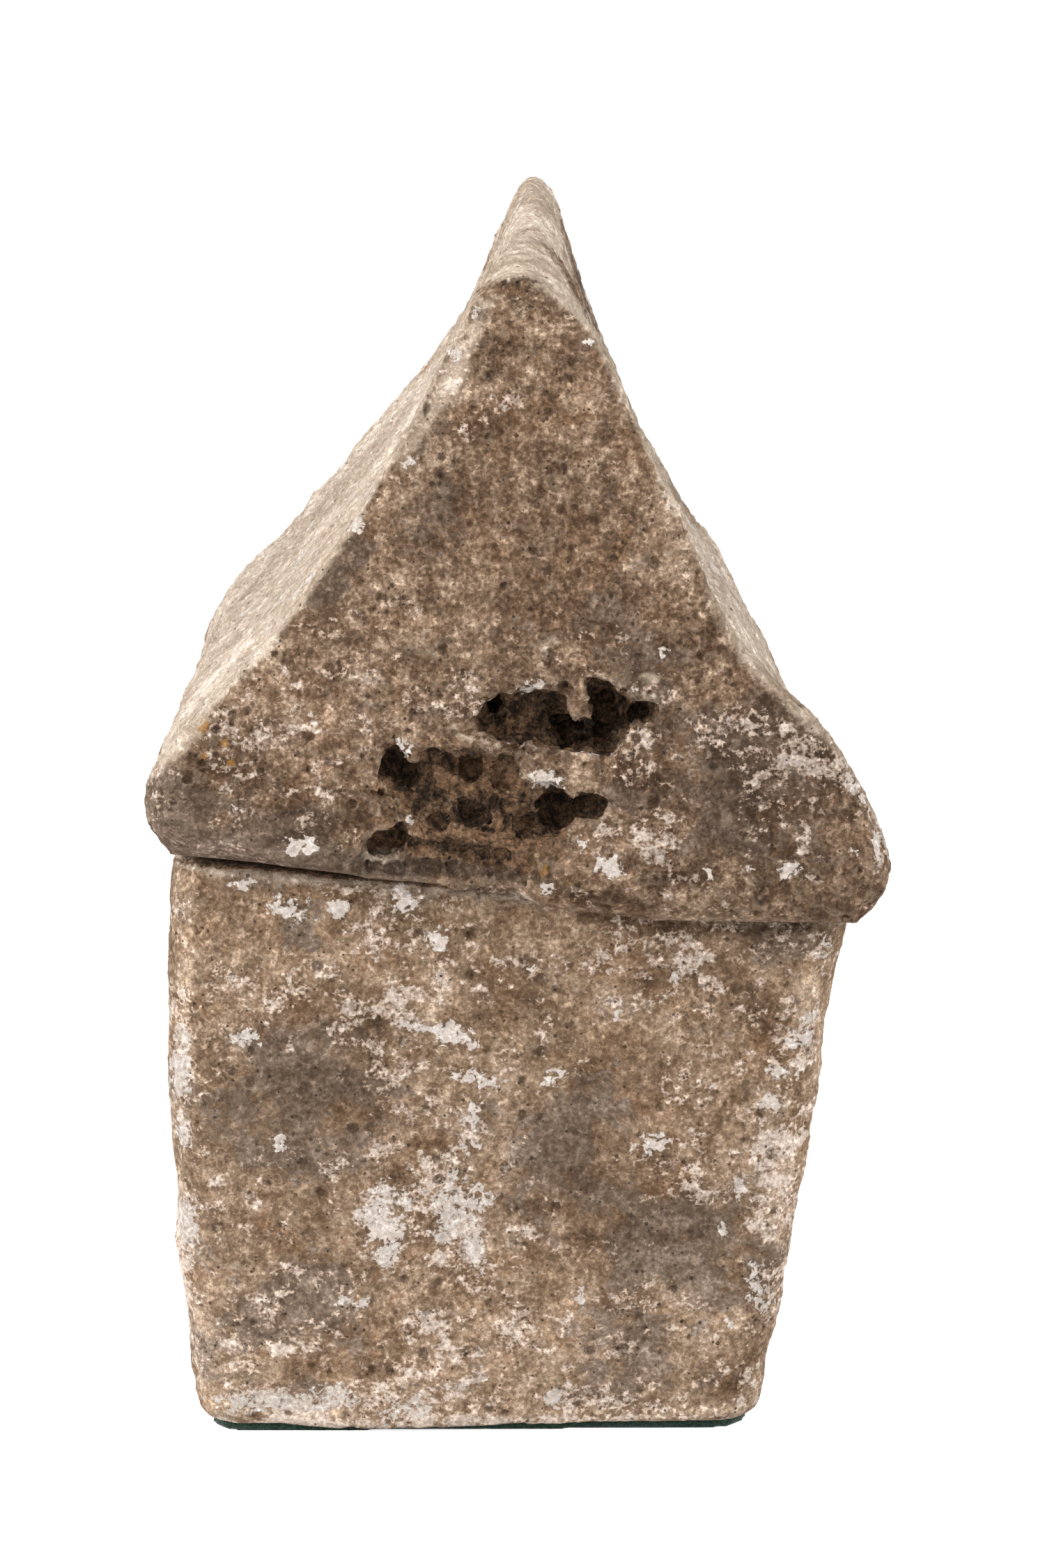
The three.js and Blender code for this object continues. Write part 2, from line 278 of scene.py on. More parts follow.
def add_cave(cutter, surface, depth, outline):
    """A cave with an outline drawn in the view, narrowing to a blunt back at its depth."""
    rays = [pixel_ray(across, down) for across, down in outline]
    hits = [surface.ray_cast(VIEW_PLACE, ray) for ray in rays]
    mouth = min(hit[3] for hit in hits if hit[0])
    rings = []
    for along, spread in CAVE_RINGS:
        reach = mouth + (along * depth if along > 0 else along * CAVE_OVERRUN)
        points = [VIEW_PLACE + ray * reach for ray in rays]
        middle = sum(points, Vector()) / len(points)
        rings.append([cutter.verts.new(middle + (point - middle) * spread) for point in points])
    for near, far in zip(rings, rings[1:]):
        for index in range(len(outline)):
            after = (index + 1) % len(outline)
            cutter.faces.new((near[index], near[after], far[after], far[index]))
    cutter.faces.new(rings[0][::-1])
    cutter.faces.new(rings[-1])


def lump_height(place):
    """How far the skin of a hollow stands out: broad lumps with smaller ones on them."""
    return sum(height * noise.noise(place / (span * MM)) for span, height in LUMPS) * MM


def hollow_cutter(name, surface, hollows, caves):
    """All hollows and caves as one solid with a lumpy skin, as weather eats a spongy stone."""
    shape = bmesh.new()
    for hollow in hollows:
        add_ball(shape, surface, *hollow)
    for depth, outline in caves:
        add_cave(shape, surface, depth * MM, outline)
    bmesh.ops.triangulate(shape, faces=[face for face in shape.faces if len(face.verts) > 4])
    bmesh.ops.recalc_face_normals(shape, faces=shape.faces)
    mesh = bpy.data.meshes.new(name)
    shape.to_mesh(mesh)
    shape.free()
    cutter = bpy.data.objects.new(name, mesh)
    bpy.context.scene.collection.objects.link(cutter)
    mesh = skinned(cutter, CUTTER_VOXEL)
    places, outward = vertex_values(mesh, "co"), vertex_values(mesh, "normal")
    places += outward * np.array([lump_height(Vector(place)) for place in places])[:, None]
    mesh.vertices.foreach_set("co", places.ravel())
    skinned(cutter, CUTTER_VOXEL)
    return cutter


def keep(mesh, name, values):
    """Keeps one number for each vertex under a name that the material reads."""
    kept = mesh.attributes.get(name) or mesh.attributes.new(name, "FLOAT", "POINT")
    kept.data.foreach_set("value", np.asarray(values, np.float32))


def laid_over(values, places, centre, axes, sizes, turn, amount):
    """Blends `amount` into the values near a place, fading past the patch's lobed edge."""
    away = (places - centre) @ axes
    along = (away[:, 0] * np.cos(turn) + away[:, 1] * np.sin(turn)) / sizes[0]
    beside = (away[:, 1] * np.cos(turn) - away[:, 0] * np.sin(turn)) / sizes[1]
    reach = np.sqrt(along**2 + beside**2 + (away[:, 2] / sizes[2]) ** 2)
    phase = np.sum(centre) / MM
    first, second = [a * along + b * beside for a, b in LOBE_WAVES]
    lobes = np.sin(first + phase) * np.cos(second - phase)
    share = np.clip(PATCH_EDGE - (reach + PATCH_LOBES * lobes), 0, 1)
    return values * (1 - share) + amount * share


def seen_patches(values, places, surface, patches):
    """Patches given by their place, half sizes, turn in degrees and amount in the view."""
    for across, down, half_width, half_height, turn, amount in patches:
        hit = surface.ray_cast(VIEW_PLACE, pixel_ray(across, down))[0]
        sizes = np.array((half_width, half_height, 0)) / PIXELS_PER_MM * MM
        sizes[2] = max(sizes[:2]) * PATCH_EDGE + PATCH_DEPTH
        values = laid_over(values, places, np.array(hit), VIEW_AXES, sizes, radians(-turn), amount)
    return values


def other_patches(values, places, picker, count, smallest, largest, amount, unseen):
    """Patches strewn over the sides that the view doesn't show."""
    for index in picker.choice(np.flatnonzero(unseen), count):
        size = smallest * (largest / smallest) ** picker.random() * MM
        sizes = (size, size * picker.uniform(0.5, 1), size)
        turned = Matrix.Rotation(picker.uniform(0, 2 * pi), 3, Vector(picker.normal(size=3)))
        values = laid_over(values, places, places[index], np.array(turned), sizes, 0, amount)
    return values


def weathered(block, surface, hollows, caves, voxel, rough_patches, calm_beds, reshaped, wear):
    """Makes a block weathered stone: hollows cut, skinned evenly, then dented and pitted."""
    cutter = hollow_cutter(block.name + "_cutter", surface, hollows, caves)
    cut = block.modifiers.new("hollows", "BOOLEAN")
    cut.operation = "DIFFERENCE"
    cut.solver = "MANIFOLD"
    cut.object = cutter
    mesh = skinned(block, voxel)
    bpy.data.objects.remove(cutter)
    places = vertex_values(mesh, "co")
    near = [surface.find_nearest(place) for place in places]
    deep = np.array([hit[3] for hit in near]) / MM
    upward = np.array([hit[1].z for hit in near])
    places = reshaped(places)
    mesh.vertices.foreach_set("co", places.ravel())
    rough = seen_patches(np.ones(len(places)), places, surface, rough_patches)
    rough = rough + SPONGY_EXTRA * np.clip((deep - SPONGY_FROM_MM) / SPONGY_OVER_MM, 0, 1)
    bedded = np.maximum(upward * calm_beds["above"], -upward * calm_beds["below"])
    bedded = np.clip((bedded - BED_FROM) / BED_OVER, 0, 1) * (deep < BED_WITHIN_MM)
    keep(mesh, "rough", rough * (1 - BED_CALM * bedded))
    worn = block.modifiers.new("wear", "NODES")
    worn.node_group = WEATHERING
    for socket in WEATHERING.interface.items_tree:
        if socket.in_out == "INPUT" and socket.name in wear:
            worn[socket.identifier] = wear[socket.name]
    mesh = settled(block)
    triangles = sum(len(face.vertices) - 2 for face in mesh.polygons)
    if triangles > TRIANGLES_PER_STONE:
        fewer = block.modifiers.new("fewer", "DECIMATE")
        fewer.ratio = TRIANGLES_PER_STONE / triangles
        mesh = settled(block)
    mesh.shade_smooth()


def stained_and_shaded(block, surface, seed, seen_front, tables, strewn):
    """Keeps where soil, patina, crust and plaster lie and where light and shade are painted, from the
    patches and from the relief.
    """
    mesh = block.data
    places = vertex_values(mesh, "co")
    none = np.zeros(len(places))
    near = [surface.find_nearest(place) for place in places]
    deep = np.array([hit[3] for hit in near]) / MM
    normals = np.array([hit[1] for hit in near])
    within = (places - np.array([hit[0] for hit in near])) * normals
    deep = np.where(within.sum(axis=1) < 0, deep, 0)
    soil_and_shade_patches = seen_patches(none, places, surface, tables["soil_and_shade"])
    bare = seen_patches(none, places, surface, tables["bare"])
    # The deeper a place lies inside the block, the darker it is: soil and painted shade in one.
    soil_and_shade = np.maximum(np.clip((deep - SOIL_AND_SHADE_FROM_MM) / SOIL_AND_SHADE_OVER_MM, 0, 1), soil_and_shade_patches)
    keep(mesh, "deep", soil_and_shade * (1 - bare))
    # Faces that look up are kept paler: partly rain-washed stone, partly painted top light.
    washed_and_lit = np.clip((normals[:, 2] - WASHED_AND_LIT_FROM) / WASHED_AND_LIT_OVER, 0, 1)
    keep(mesh, "washed_and_lit", seen_patches(washed_and_lit, places, surface, tables["washed_and_lit"]))
    towards = np.array(VIEW_PLACE) - places
    facing = (normals * towards).sum(axis=1) > 0
    unseen = ~(facing & (places[:, 1] < seen_front))
    picker = np.random.default_rng(seed)
    for name in ("tone", "grey", "crust_and_painted_light", "lime", "rust"):
        values = none
        for count, smallest, largest, amount in strewn.get(name, ()):
            values = other_patches(values, places, picker, count, smallest, largest, amount, unseen)
        values = seen_patches(values, places, surface, tables[name])
        if name == "tone":
            values = values + seen_patches(none, places, surface, tables["shade"])
        keep(mesh, name, values)


def limestone(name, colours, contrast, crust_from):
    """Weathered limestone. The eye sees a sandy, mottled brown with crisp pale crust on it."""
    material = bpy.data.materials.new(name)
    material.use_nodes = True
    tree = material.node_tree
    put, weigh, past = (partial(step, tree) for step in (add, weighed, share_past))
    place = put("ShaderNodeTexCoord", output="Object")
    turn = {"Vector": place, "Rotation": (0.0, radians(24), 0.0), "Scale": (0.84, 1.0, 1.18)}
    drawn_out = put("ShaderNodeMapping", turn)
    names = ("tone", "grey", "crust_and_painted_light", "lime", "rust", "deep", "washed_and_lit", "proud")
    kept = {each: put("ShaderNodeAttribute", output="Fac", attribute_name=each) for each in names}

    def cloud(span, detail, roughness, distortion, low, high, where=place):
        """A cloudy pattern with lumps of a span in millimetres, stretched between two levels."""
        inputs = {"Vector": where, "Scale": 1 / (span * MM), "Detail": detail}
        inputs.update({"Roughness": roughness, "Distortion": distortion})
        return past(low, high, (put("ShaderNodeTexNoise", inputs), 1.0))

    def specks(span, rarity, width):
        """Round specks of a span in millimetres. The nearer the rarity is to 1, the fewer."""
        inputs = {"Vector": place, "Scale": 1 / (span * MM), "Randomness": 1.0}
        away = put("ShaderNodeTexVoronoi", inputs)
        chance = put("ShaderNodeSeparateColor", {0: away.node.outputs["Color"]})
        return past(0.0, 0.05, (past(rarity, 1.0, (chance, 1.0)), width), (away, -1.0))

    def coat(under, share, strength, over):
        """Lays one colour over another, as thick as the share says."""
        share = weigh((share, strength))
        return put("ShaderNodeMix", {0: share, 6: under, 7: over}, 2, data_type="RGBA")

    def lit(colour, stops):
        """A colour made lighter by some stops, or darker where they are below zero."""
        factor = put("ShaderNodeMath", {0: 2.0, 1: stops}, operation="POWER")
        return put("ShaderNodeVectorMath", {0: colour, "Scale": factor}, operation="SCALE")

    # The stone itself: sand-sized grain in mottled brown and beige, with ochre and a grey patina.
    grain = cloud(1.9, 2, 0.65, 0.0, 0.38, 0.62)
    grit = cloud(3.6, 5, 0.7, 0.25, 0.36, 0.64)
    blotch = cloud(12, 9, 0.68, 0.4, 0.36, 0.64)
    broad = cloud(46, 7, 0.64, 0.2, 0.36, 0.64)
    ragged = cloud(4.6, 7, 0.66, 0.8, 0.34, 0.66)
    ground = weigh((broad, 0.4), (blotch, 0.25), (grit, 0.2), (grain, 0.15))
    colour = coat(linear(colours["brown"]), ground, 1.0, linear(colours["beige"]))
    colour = coat(colour, cloud(25, 7, 0.62, 0.5, 0.5, 0.62), 0.35, linear(colours["ochre"]))
    veil = cloud(31, 8, 0.68, 0.3, 0.34, 0.66)
    veil = weigh((veil, 0.5), (blotch, 0.2), (kept["grey"], 0.4), (grit, 0.12))
    colour = coat(colour, past(0.58, 0.7, (veil, 1.0)), 0.9, linear(colours["patina"]))
    colour = coat(colour, cloud(16, 10, 0.74, 0.7, 0.575, 0.6), 0.55, linear(colours["patina"]))
    # Up-facing faces take a pale coat: rain-washed stone and painted top light.
    colour = coat(colour, kept["washed_and_lit"], 0.85, linear(colours["washed_and_lit_pale"]))

    # Light and dark: the mottling, calmer where the stone is washed and lit from above, and the laid
    # tones, which hold painted light and shade as well as the stone's own tone.
    mottle = weigh((grain, 0.75), (grit, 0.8), (blotch, 0.8), (broad, 0.6), (1.45, -1.0))
    calm = weigh((past(0.0, 1.0, (kept["washed_and_lit"], 1.0)), -0.5), (1.0, 1.0))
    uneven = weigh((cloud(10, 9, 0.7, 0.5, 0.38, 0.62), 1.2), (0.25, 1.0))
    stops = weigh((weigh((mottle, contrast)), calm), (kept["tone"], uneven))
    # The dark places are warmer than the light ones, so blue falls faster than red.
    factors = []
    for warmth in (0.88, 1.0, 1.14):
        power = {0: 2.0, 1: weigh((stops, warmth))}
        factors.append(put("ShaderNodeMath", power, operation="POWER"))
    factors = put("ShaderNodeCombineXYZ", enumerate(factors))
    colour = put("ShaderNodeVectorMath", {0: colour, 1: factors}, operation="MULTIPLY")

    # A crisp, lacy crust of lime washed out of the stone, drawn out a little to one side. Where the
    # patches lay it on the low band of the base and along the side edges, it is painted light.
    coarse_film = cloud(24, 8, 0.66, 0.35, 0.36, 0.64, drawn_out)
    fine_film = cloud(8, 9, 0.72, 0.35, 0.36, 0.64, drawn_out)
    film = weigh((coarse_film, 0.3), (fine_film, 0.34), (kept["crust_and_painted_light"], 0.2), (grit, 0.14), (grain, 0.12))
    crust_and_painted_light = past(crust_from + 0.03, crust_from + 0.07, (film, 1.0))
    thick = past(crust_from + 0.08, crust_from + 0.25, (film, 1.0))
    pale = coat(linear("#BEA38D"), thick, 1.0, linear("#E3D1C3"))
    pale = lit(pale, weigh((grain, 0.5), (grit, 0.4), (kept["tone"], 0.35), (0.45, -1.0)))
    colour = coat(colour, crust_and_painted_light, 0.88, pale)

    # Dirt and painted shade in what lies low and wear on what stands proud, then soil and painted shade
    # in the caves and painted shadow in the seam.
    pits = past(-0.08 * MM, -0.5 * MM, (kept["proud"], 1.0))
    ridges = past(0.08 * MM, 0.45 * MM, (kept["proud"], 1.0))
    colour = coat(colour, ridges, 0.15, linear("#CDB89F"))
    # The dark coat on low places in the relief is dirt and painted shade in small hollows.
    colour = coat(colour, pits, 0.45, linear("#4A392B"))
    crumbly = weigh((cloud(3.4, 7, 0.74, 0.1, 0.36, 0.6), 0.6), (blotch, 0.4))
    crumbly = weigh((crumbly, 1.0), (past(0.6, 1.0, (kept["deep"], 1.0)), -0.25))
    # The soil colour, near black where it lies deepest: dirt and painted shade.
    soil_and_shade = coat(linear("#150D07"), past(0.0, 0.9, (crumbly, 1.0)), 1.0, linear("#8E6C4F"))
    soil_and_shade = lit(soil_and_shade, weigh((grain, 0.9), (-0.45, 1.0)))
    soil_and_shade_share = past(0.28, 0.6, (kept["deep"], 1.0), (ragged, 0.35))
    colour = coat(colour, soil_and_shade_share, 0.883, soil_and_shade)
    # Dark specks are painted shade in pores too small to cut.
    holes = {0: specks(4.2, 0.9, 0.26), 1: specks(2.2, 0.86, 0.34)}
    colour = coat(colour, put("ShaderNodeMath", holes, operation="MAXIMUM"), 0.8, linear("#2A1F17"))

    # Remains of white lime plaster with ragged edges, crumbs of it, and a little orange lichen.
    plaster = past(0.9, 0.96, (ragged, 0.75), (grain, 0.12), (kept["lime"], 0.82))
    crumbs = cloud(3.0, 6, 0.7, 0.0, 0.7, 0.72)
    lime = put("ShaderNodeMath", {0: plaster, 1: crumbs}, operation="MAXIMUM")
    chalk = coat(linear("#DAC8B9"), weigh((grain, 0.5), (grit, 0.5)), 1.0, linear("#FFF5ED"))
    colour = coat(colour, lime, 0.92, chalk)
    colour = coat(colour, past(0.9, 1.05, (ragged, 0.5), (kept["rust"], 1.0)), 0.75, linear("#A8742F"))

    shader = tree.nodes["Principled BSDF"]
    tree.links.new(colour, shader.inputs["Base Color"])
    shader.inputs["Roughness"].default_value = 0.93
    shader.inputs["Specular IOR Level"].default_value = 0.25
    height = weigh((grain, 0.4 * MM), (grit, 0.9 * MM), (lime, 0.45 * MM), (crust_and_painted_light, 0.25 * MM))
    bump = put("ShaderNodeBump", {"Height": height, "Distance": 1.0, "Strength": 1.0})
    tree.links.new(bump, shader.inputs["Normal"])
    return material


WEATHERING = weathering()

# Patches seen on the chest's end, each as across, down, half width, half height, turn in degrees
# and amount. Lime is plaster, crust a lacy film of lime and grey the patina. Tone and shade lighten
# the stone, or darken it where they are below zero. Beside the stone's own tone they hold painted
# shadow under the lid's lip, painted bounce light on the low band of the base and painted rim light
# along the side edges, and crust is laid there as painted light too. Soil here is painted shadow in
# the seam under the lid.
CHEST_TABLES = {
    "lime": [
        (347, 1267, 22, 8, 0, 1), (414, 1305, 32, 14, 10, 1), (484, 1305, 18, 16, 0, 1),
        (583, 1293, 20, 24, -40, 1), (630, 1352, 20, 14, 30, 1), (350, 1488, 18, 13, 0, 1),
        (652, 1487, 34, 16, 10, 1), (598, 1474, 34, 6, 5, 1), (684, 1546, 50, 12, 12, 0.8),
        (795, 1546, 12, 22, 20, 0.8), (677, 1600, 12, 22, 10, 0.85), (676, 1645, 16, 9, -20, 1),
        (940, 1640, 20, 18, 20, 0.9), (1105, 1584, 14, 13, 0, 1), (1147, 1491, 22, 15, -10, 1),
        (1164, 1461, 18, 9, 0, 1), (1119, 1540, 22, 10, 0, 0.85), (400, 1640, 12, 12, 0, 1),
        (888, 1453, 5, 14, 20, 0.9), (765, 1388, 8, 6, 0, 0.9), (551, 1745, 36, 42, 10, 1.02),
        (560, 1800, 22, 30, 0, 0.95), (650, 1722, 34, 38, 0, 0.82), (690, 1720, 26, 14, 0, 0.85),
        (684, 1788, 14, 42, -8, 1.0), (640, 1765, 24, 26, 0, 0.78), (258, 1537, 16, 58, 5, 1),
        (260, 1628, 12, 24, 0, 1), (268, 1754, 16, 38, -8, 0.95), (380, 2012, 100, 14, 2, 0.95),
        (480, 2002, 30, 16, 0, 1), (586, 2022, 38, 18, -10, 0.9), (796, 2010, 14, 20, 0, 0.95),
        (833, 1862, 6, 18, 0, 0.9), (1044, 1900, 10, 6, 0, 1), (1037, 1765, 5, 18, 0, 0.9),
        (1062, 1702, 13, 18, 0, 0.85), (1090, 1850, 16, 50, -20, 0.75), (690, 1960, 8, 30, 5, 0.75),
        (660, 1990, 20, 8, 0, 0.85), (502, 1870, 30, 10, 0, 0.65), (980, 1400, 34, 9, -50, 0.7),
        (1180, 1375, 10, 30, 10, 0.7),
    ],
    "crust_and_painted_light": [
        # Crust on the low band of the base and along the side edges is painted bounce and rim light;
        # crust taken off the rim under the lid is painted shade.
        (370, 1415, 95, 45, -5, 0.4), (580, 1430, 90, 60, 10, 0.7), (620, 1720, 110, 70, 0, 1.1),
        (800, 1775, 70, 20, 0, 1.0), (1130, 1700, 45, 250, 4, 0.9), (330, 1920, 70, 90, 0, 0.6),
        (480, 1990, 220, 40, 0, 1.0), (900, 2000, 220, 25, 0, 0.7), (1000, 1400, 70, 50, -30, 0.7),
        (990, 1560, 60, 50, 0, 0.6), (640, 1900, 50, 110, 0, 0.7), (330, 1700, 60, 40, 0, 0.6),
        (420, 1560, 100, 70, 0, -0.8), (830, 1640, 90, 100, 20, -1.0), (980, 1800, 110, 60, 20, -0.9),
        (440, 1320, 50, 40, 0, -0.3), (620, 2042, 360, 12, 0, 1.6), (380, 1940, 60, 40, 0, 0.6),
        (535, 1480, 22, 20, 0, -1.2), (530, 1410, 18, 34, 0, -0.8), (1040, 1396, 30, 14, 20, -1.2),
        (1076, 1424, 24, 18, 30, -1.2), (1105, 1470, 18, 18, 0, -1.2), (1050, 1600, 26, 50, 0, -0.8),
        (628, 1865, 50, 16, 10, -1), (720, 1635, 14, 22, 0, -1), (440, 1470, 40, 40, 0, -0.8),
        (740, 1735, 60, 16, 25, -0.9), (520, 1262, 260, 10, 5, -1.2), (860, 1300, 90, 12, 10, 0.7),
        (1092, 1380, 14, 40, 0, 0.8), (450, 1862, 60, 38, 0, 0.7), (990, 1450, 38, 34, 0, 0.8),
        (450, 2034, 170, 14, 3, 1.2), (268, 1830, 16, 120, -4, 1.2), (262, 1460, 14, 170, 0, 0.9),
        (1040, 1998, 32, 20, -20, -1), (440, 1972, 60, 28, -10, -0.8), (620, 1640, 28, 22, 0, -1),
        (568, 1690, 28, 14, 0, -1), (840, 1780, 40, 18, 5, -0.8), (938, 1410, 38, 18, 0, -0.8),
    ],
    "grey": [
        (420, 1555, 140, 85, -8, 1.0), (470, 1660, 90, 35, 0, 0.8), (810, 1640, 100, 110, 20, 1.1),
        (960, 1790, 140, 70, 25, 1.0), (430, 1340, 45, 55, 0, 0.9), (430, 1890, 130, 80, 0, 0.8),
        (960, 1950, 120, 60, 0, 0.5), (1130, 1340, 50, 40, 0, 0.9), (360, 1420, 100, 50, 0, -0.8),
        (760, 1340, 160, 60, 0, -0.2), (600, 1820, 80, 160, 0, -0.6), (1010, 1600, 70, 50, 0, -0.7),
    ],
    "tone": [
        # The first rows darken the rim band under the lid: painted shadow of the lip. Bright rows on the
        # side edges and the low band are painted rim and bounce light.
        (700, 1290, 500, 36, 4, -0.4), (420, 1560, 130, 75, -8, -0.4), (830, 1640, 90, 95, 20, -0.65),
        (980, 1790, 120, 60, 25, -0.5), (700, 1880, 480, 90, 0, 0.3), (680, 1660, 90, 60, 0, 0.25),
        (900, 1350, 240, 60, 5, -0.2), (417, 1326, 24, 26, 0, -0.9), (1135, 1325, 70, 26, 0, -1.0),
        (370, 1415, 105, 48, -5, 0.45), (580, 1430, 80, 45, 0, 0.2), (1140, 1700, 34, 270, 4, 0.8),
        (600, 1740, 110, 70, 0, 0.4), (350, 1910, 90, 80, 0, 0.45), (520, 2010, 270, 30, 0, 0.8),
        (640, 1950, 60, 70, 0, 0.5), (252, 1650, 22, 360, 4, 1.0), (900, 2010, 250, 26, 0, 0.4),
        (470, 1660, 90, 30, 0, -0.4), (1040, 1580, 80, 60, 0, 0.0), (960, 1930, 90, 50, 0, 0.25),
        (330, 1700, 60, 40, 0, 0.2), (760, 1860, 90, 50, 0, 0.1),
    ],
    "shade": [
        (480, 1450, 60, 34, 20, -0.5), (535, 1480, 20, 20, 0, -1.0), (418, 1308, 22, 14, 0, -0.9),
        (530, 1410, 16, 36, 0, -0.6), (360, 1400, 22, 18, 0, -0.5), (640, 1480, 14, 12, 0, -0.6),
        (620, 1640, 28, 22, 0, -1.0), (568, 1690, 28, 14, 0, -1.0), (720, 1635, 14, 22, 0, -0.6),
        (670, 1550, 30, 18, 20, -0.6), (690, 1590, 16, 22, 0, -0.5), (915, 1640, 90, 18, 0, -0.45),
        (1050, 1600, 26, 50, 0, -0.5), (725, 1722, 44, 14, 25, -0.7), (840, 1780, 40, 18, 5, -0.8),
        (1000, 1712, 26, 14, 0, -0.6), (530, 1780, 34, 18, 20, -0.4), (628, 1865, 50, 14, 10, -0.6),
        (625, 1905, 26, 30, 0, -0.5), (440, 1972, 60, 28, -10, -0.8), (870, 2006, 40, 12, 15, -0.6),
        (1040, 1998, 32, 20, -20, -1.1), (830, 1370, 44, 20, 20, -0.5), (938, 1410, 38, 18, 0, -0.9),
        (1040, 1396, 30, 14, 20, -0.8), (1076, 1424, 24, 18, 30, -0.8), (1105, 1470, 18, 18, 0, -1.1),
        (1080, 1830, 18, 24, 0, -0.7), (300, 1735, 30, 14, 0, -0.5), (330, 1680, 36, 12, 0, -0.4),
        (460, 1680, 30, 12, 0, -0.4), (1060, 1740, 20, 20, 0, -0.5), (450, 1862, 60, 38, 0, 0.55),
        (320, 1945, 40, 40, 0, 0.45), (330, 1335, 60, 50, 0, 0.35), (455, 1330, 18, 20, 0, 0.4),
        (990, 1450, 38, 34, 0, 0.6), (860, 1300, 90, 16, 10, 0.5), (672, 1690, 14, 26, 0, 0.7),
        (748, 1652, 28, 18, -30, 0.5), (865, 1585, 30, 18, 0, 0.5), (650, 1430, 40, 26, 0, 0.35),
        (410, 1625, 110, 24, 0, 0.35), (790, 1850, 90, 26, 0, 0.3), (690, 1915, 16, 30, 0, 0.5),
        (600, 1970, 50, 24, 0, 0.3), (970, 1660, 18, 14, 0, 0.4), (1092, 1380, 16, 44, 0, 0.5),
        # Below: painted rim light along the side edges, painted bounce light on the low band of the base,
        # and last painted shadow under the lid's lip.
        (360, 1600, 60, 16, 0, 0.3), (760, 1520, 50, 20, 0, 0.25), (262, 1460, 14, 170, 0, 0.6),
        (268, 1830, 16, 120, -4, 0.9), (295, 1980, 16, 50, -10, 0.7), (450, 2034, 170, 12, 3, 0.7),
        (940, 2028, 150, 9, -3, 0.6), (940, 2032, 140, 7, -3, 1.0), (300, 1900, 20, 160, -3, 0.3),
        (380, 1900, 60, 50, 0, 0.2), (490, 1950, 30, 24, 0, 0.4), (320, 2010, 24, 20, 0, 0.6),
        (1030, 1330, 130, 10, 1, -1.3), (880, 1318, 70, 8, 4, -0.8), (340, 1248, 110, 8, 4, -1.0),
        (520, 1264, 110, 8, 6, -1.0), (690, 1277, 90, 8, 5, -1.0),
    ],
    "soil_and_shade": [
        # Painted shadow in the seam under the lid.
        (330, 1240, 90, 5, 4, 0.9), (470, 1253, 90, 5, 5, 0.9), (620, 1265, 90, 5, 4, 0.9),
        (720, 1272, 40, 4, 4, 0.7),
    ],
    "bare": [],
    "washed_and_lit": [],
    "rust": [],
}
# Patches strewn over the other sides, as count, smallest and largest size in mm, and amount.
CHEST_STREWN = {
    "lime": [(60, 3, 16, 1.0)],
    "crust_and_painted_light": [(30, 15, 50, 0.9), (24, 20, 50, -0.8)],
    "grey": [(26, 20, 60, 1.0), (16, 20, 50, -0.8)],
    "tone": [(24, 15, 60, -0.6), (24, 15, 60, 0.5)],
}
CHEST_SEED = 11
SEEN_FRONT = -120 * MM
# Where the chest's end is smoother or rougher than the rest, in the form of the patches above.
CHEST_ROUGHNESS = [
    (370, 1415, 80, 35, 0, 0.5), (1000, 1330, 120, 22, 5, 1.5),
]
# Small holes, each as across, down, half width, half height, depth in mm and how far it is sunk.
CHEST_HOLLOWS = [
    (424, 1490, 4, 4, 6, 0.1), (484, 1479, 4.5, 4.5, 6, 0.1), (863, 1414, 4.5, 4.5, 6, 0.1),
    (1108, 1657, 4, 5, 6, 0.1), (1108, 1693, 4, 4, 6, 0.1), (1057, 1699, 5, 4, 5, 0.1),
    (530, 1579, 8, 7, 5, 0.1),
]

# The front edge of the base hangs before the felt, by these shares of its greatest hang.
BASE_HANG = 3.4 * MM
HANG_ACROSS = (290, 330, 390, 470, 560, 620, 700, 830, 890)
HANG_SHARES = (-0.9, -0.7, -0.1, 0.8, 1, 1, 0.8, 0.8, 0)
HANG_FADE = 22 * MM
FELT_FRONT = -173 * MM
FELT_THICK = 4 * MM
FELT_CLEAR = 1.5 * MM


def base_shape(places):
    """Lets the front edge of the base hang down to the table, before the felt, in its middle."""
    hang = np.interp(seen_pixels(places)[0], HANG_ACROSS, HANG_SHARES)
    before_felt = np.clip((FELT_FRONT - places[:, 1]) / FELT_CLEAR, 0, 1)
    near_base = np.clip(1 - (places[:, 2] - FELT_THICK) / HANG_FADE, 0, 1)
    shaped = places.copy()
    shaped[:, 2] -= BASE_HANG * hang * before_felt * near_base
    return shaped


CHEST_COLOURS = {
    "brown": "#81674F",
    "beige": "#AC9076",
    "ochre": "#A07A58",
    "patina": "#7B6858",
    "washed_and_lit_pale": "#E2CFBC",
}
CHEST_WEAR["Stone"] = limestone("chest_limestone", CHEST_COLOURS, contrast=1.05, crust_from=0.53)
chest = merged_copy("chest", "chest_stone")
chest_surface = surface_of(chest)
weathered(
    chest,
    chest_surface,
    CHEST_HOLLOWS,
    caves=[],
    voxel=CHEST_VOXEL,
    rough_patches=CHEST_ROUGHNESS,
    calm_beds={"above": 1, "below": 1},
    reshaped=base_shape,
    wear=CHEST_WEAR,
)
stained_and_shaded(chest, chest_surface, CHEST_SEED, SEEN_FRONT, CHEST_TABLES, CHEST_STREWN)
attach(chest, "chest")
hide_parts("chest")

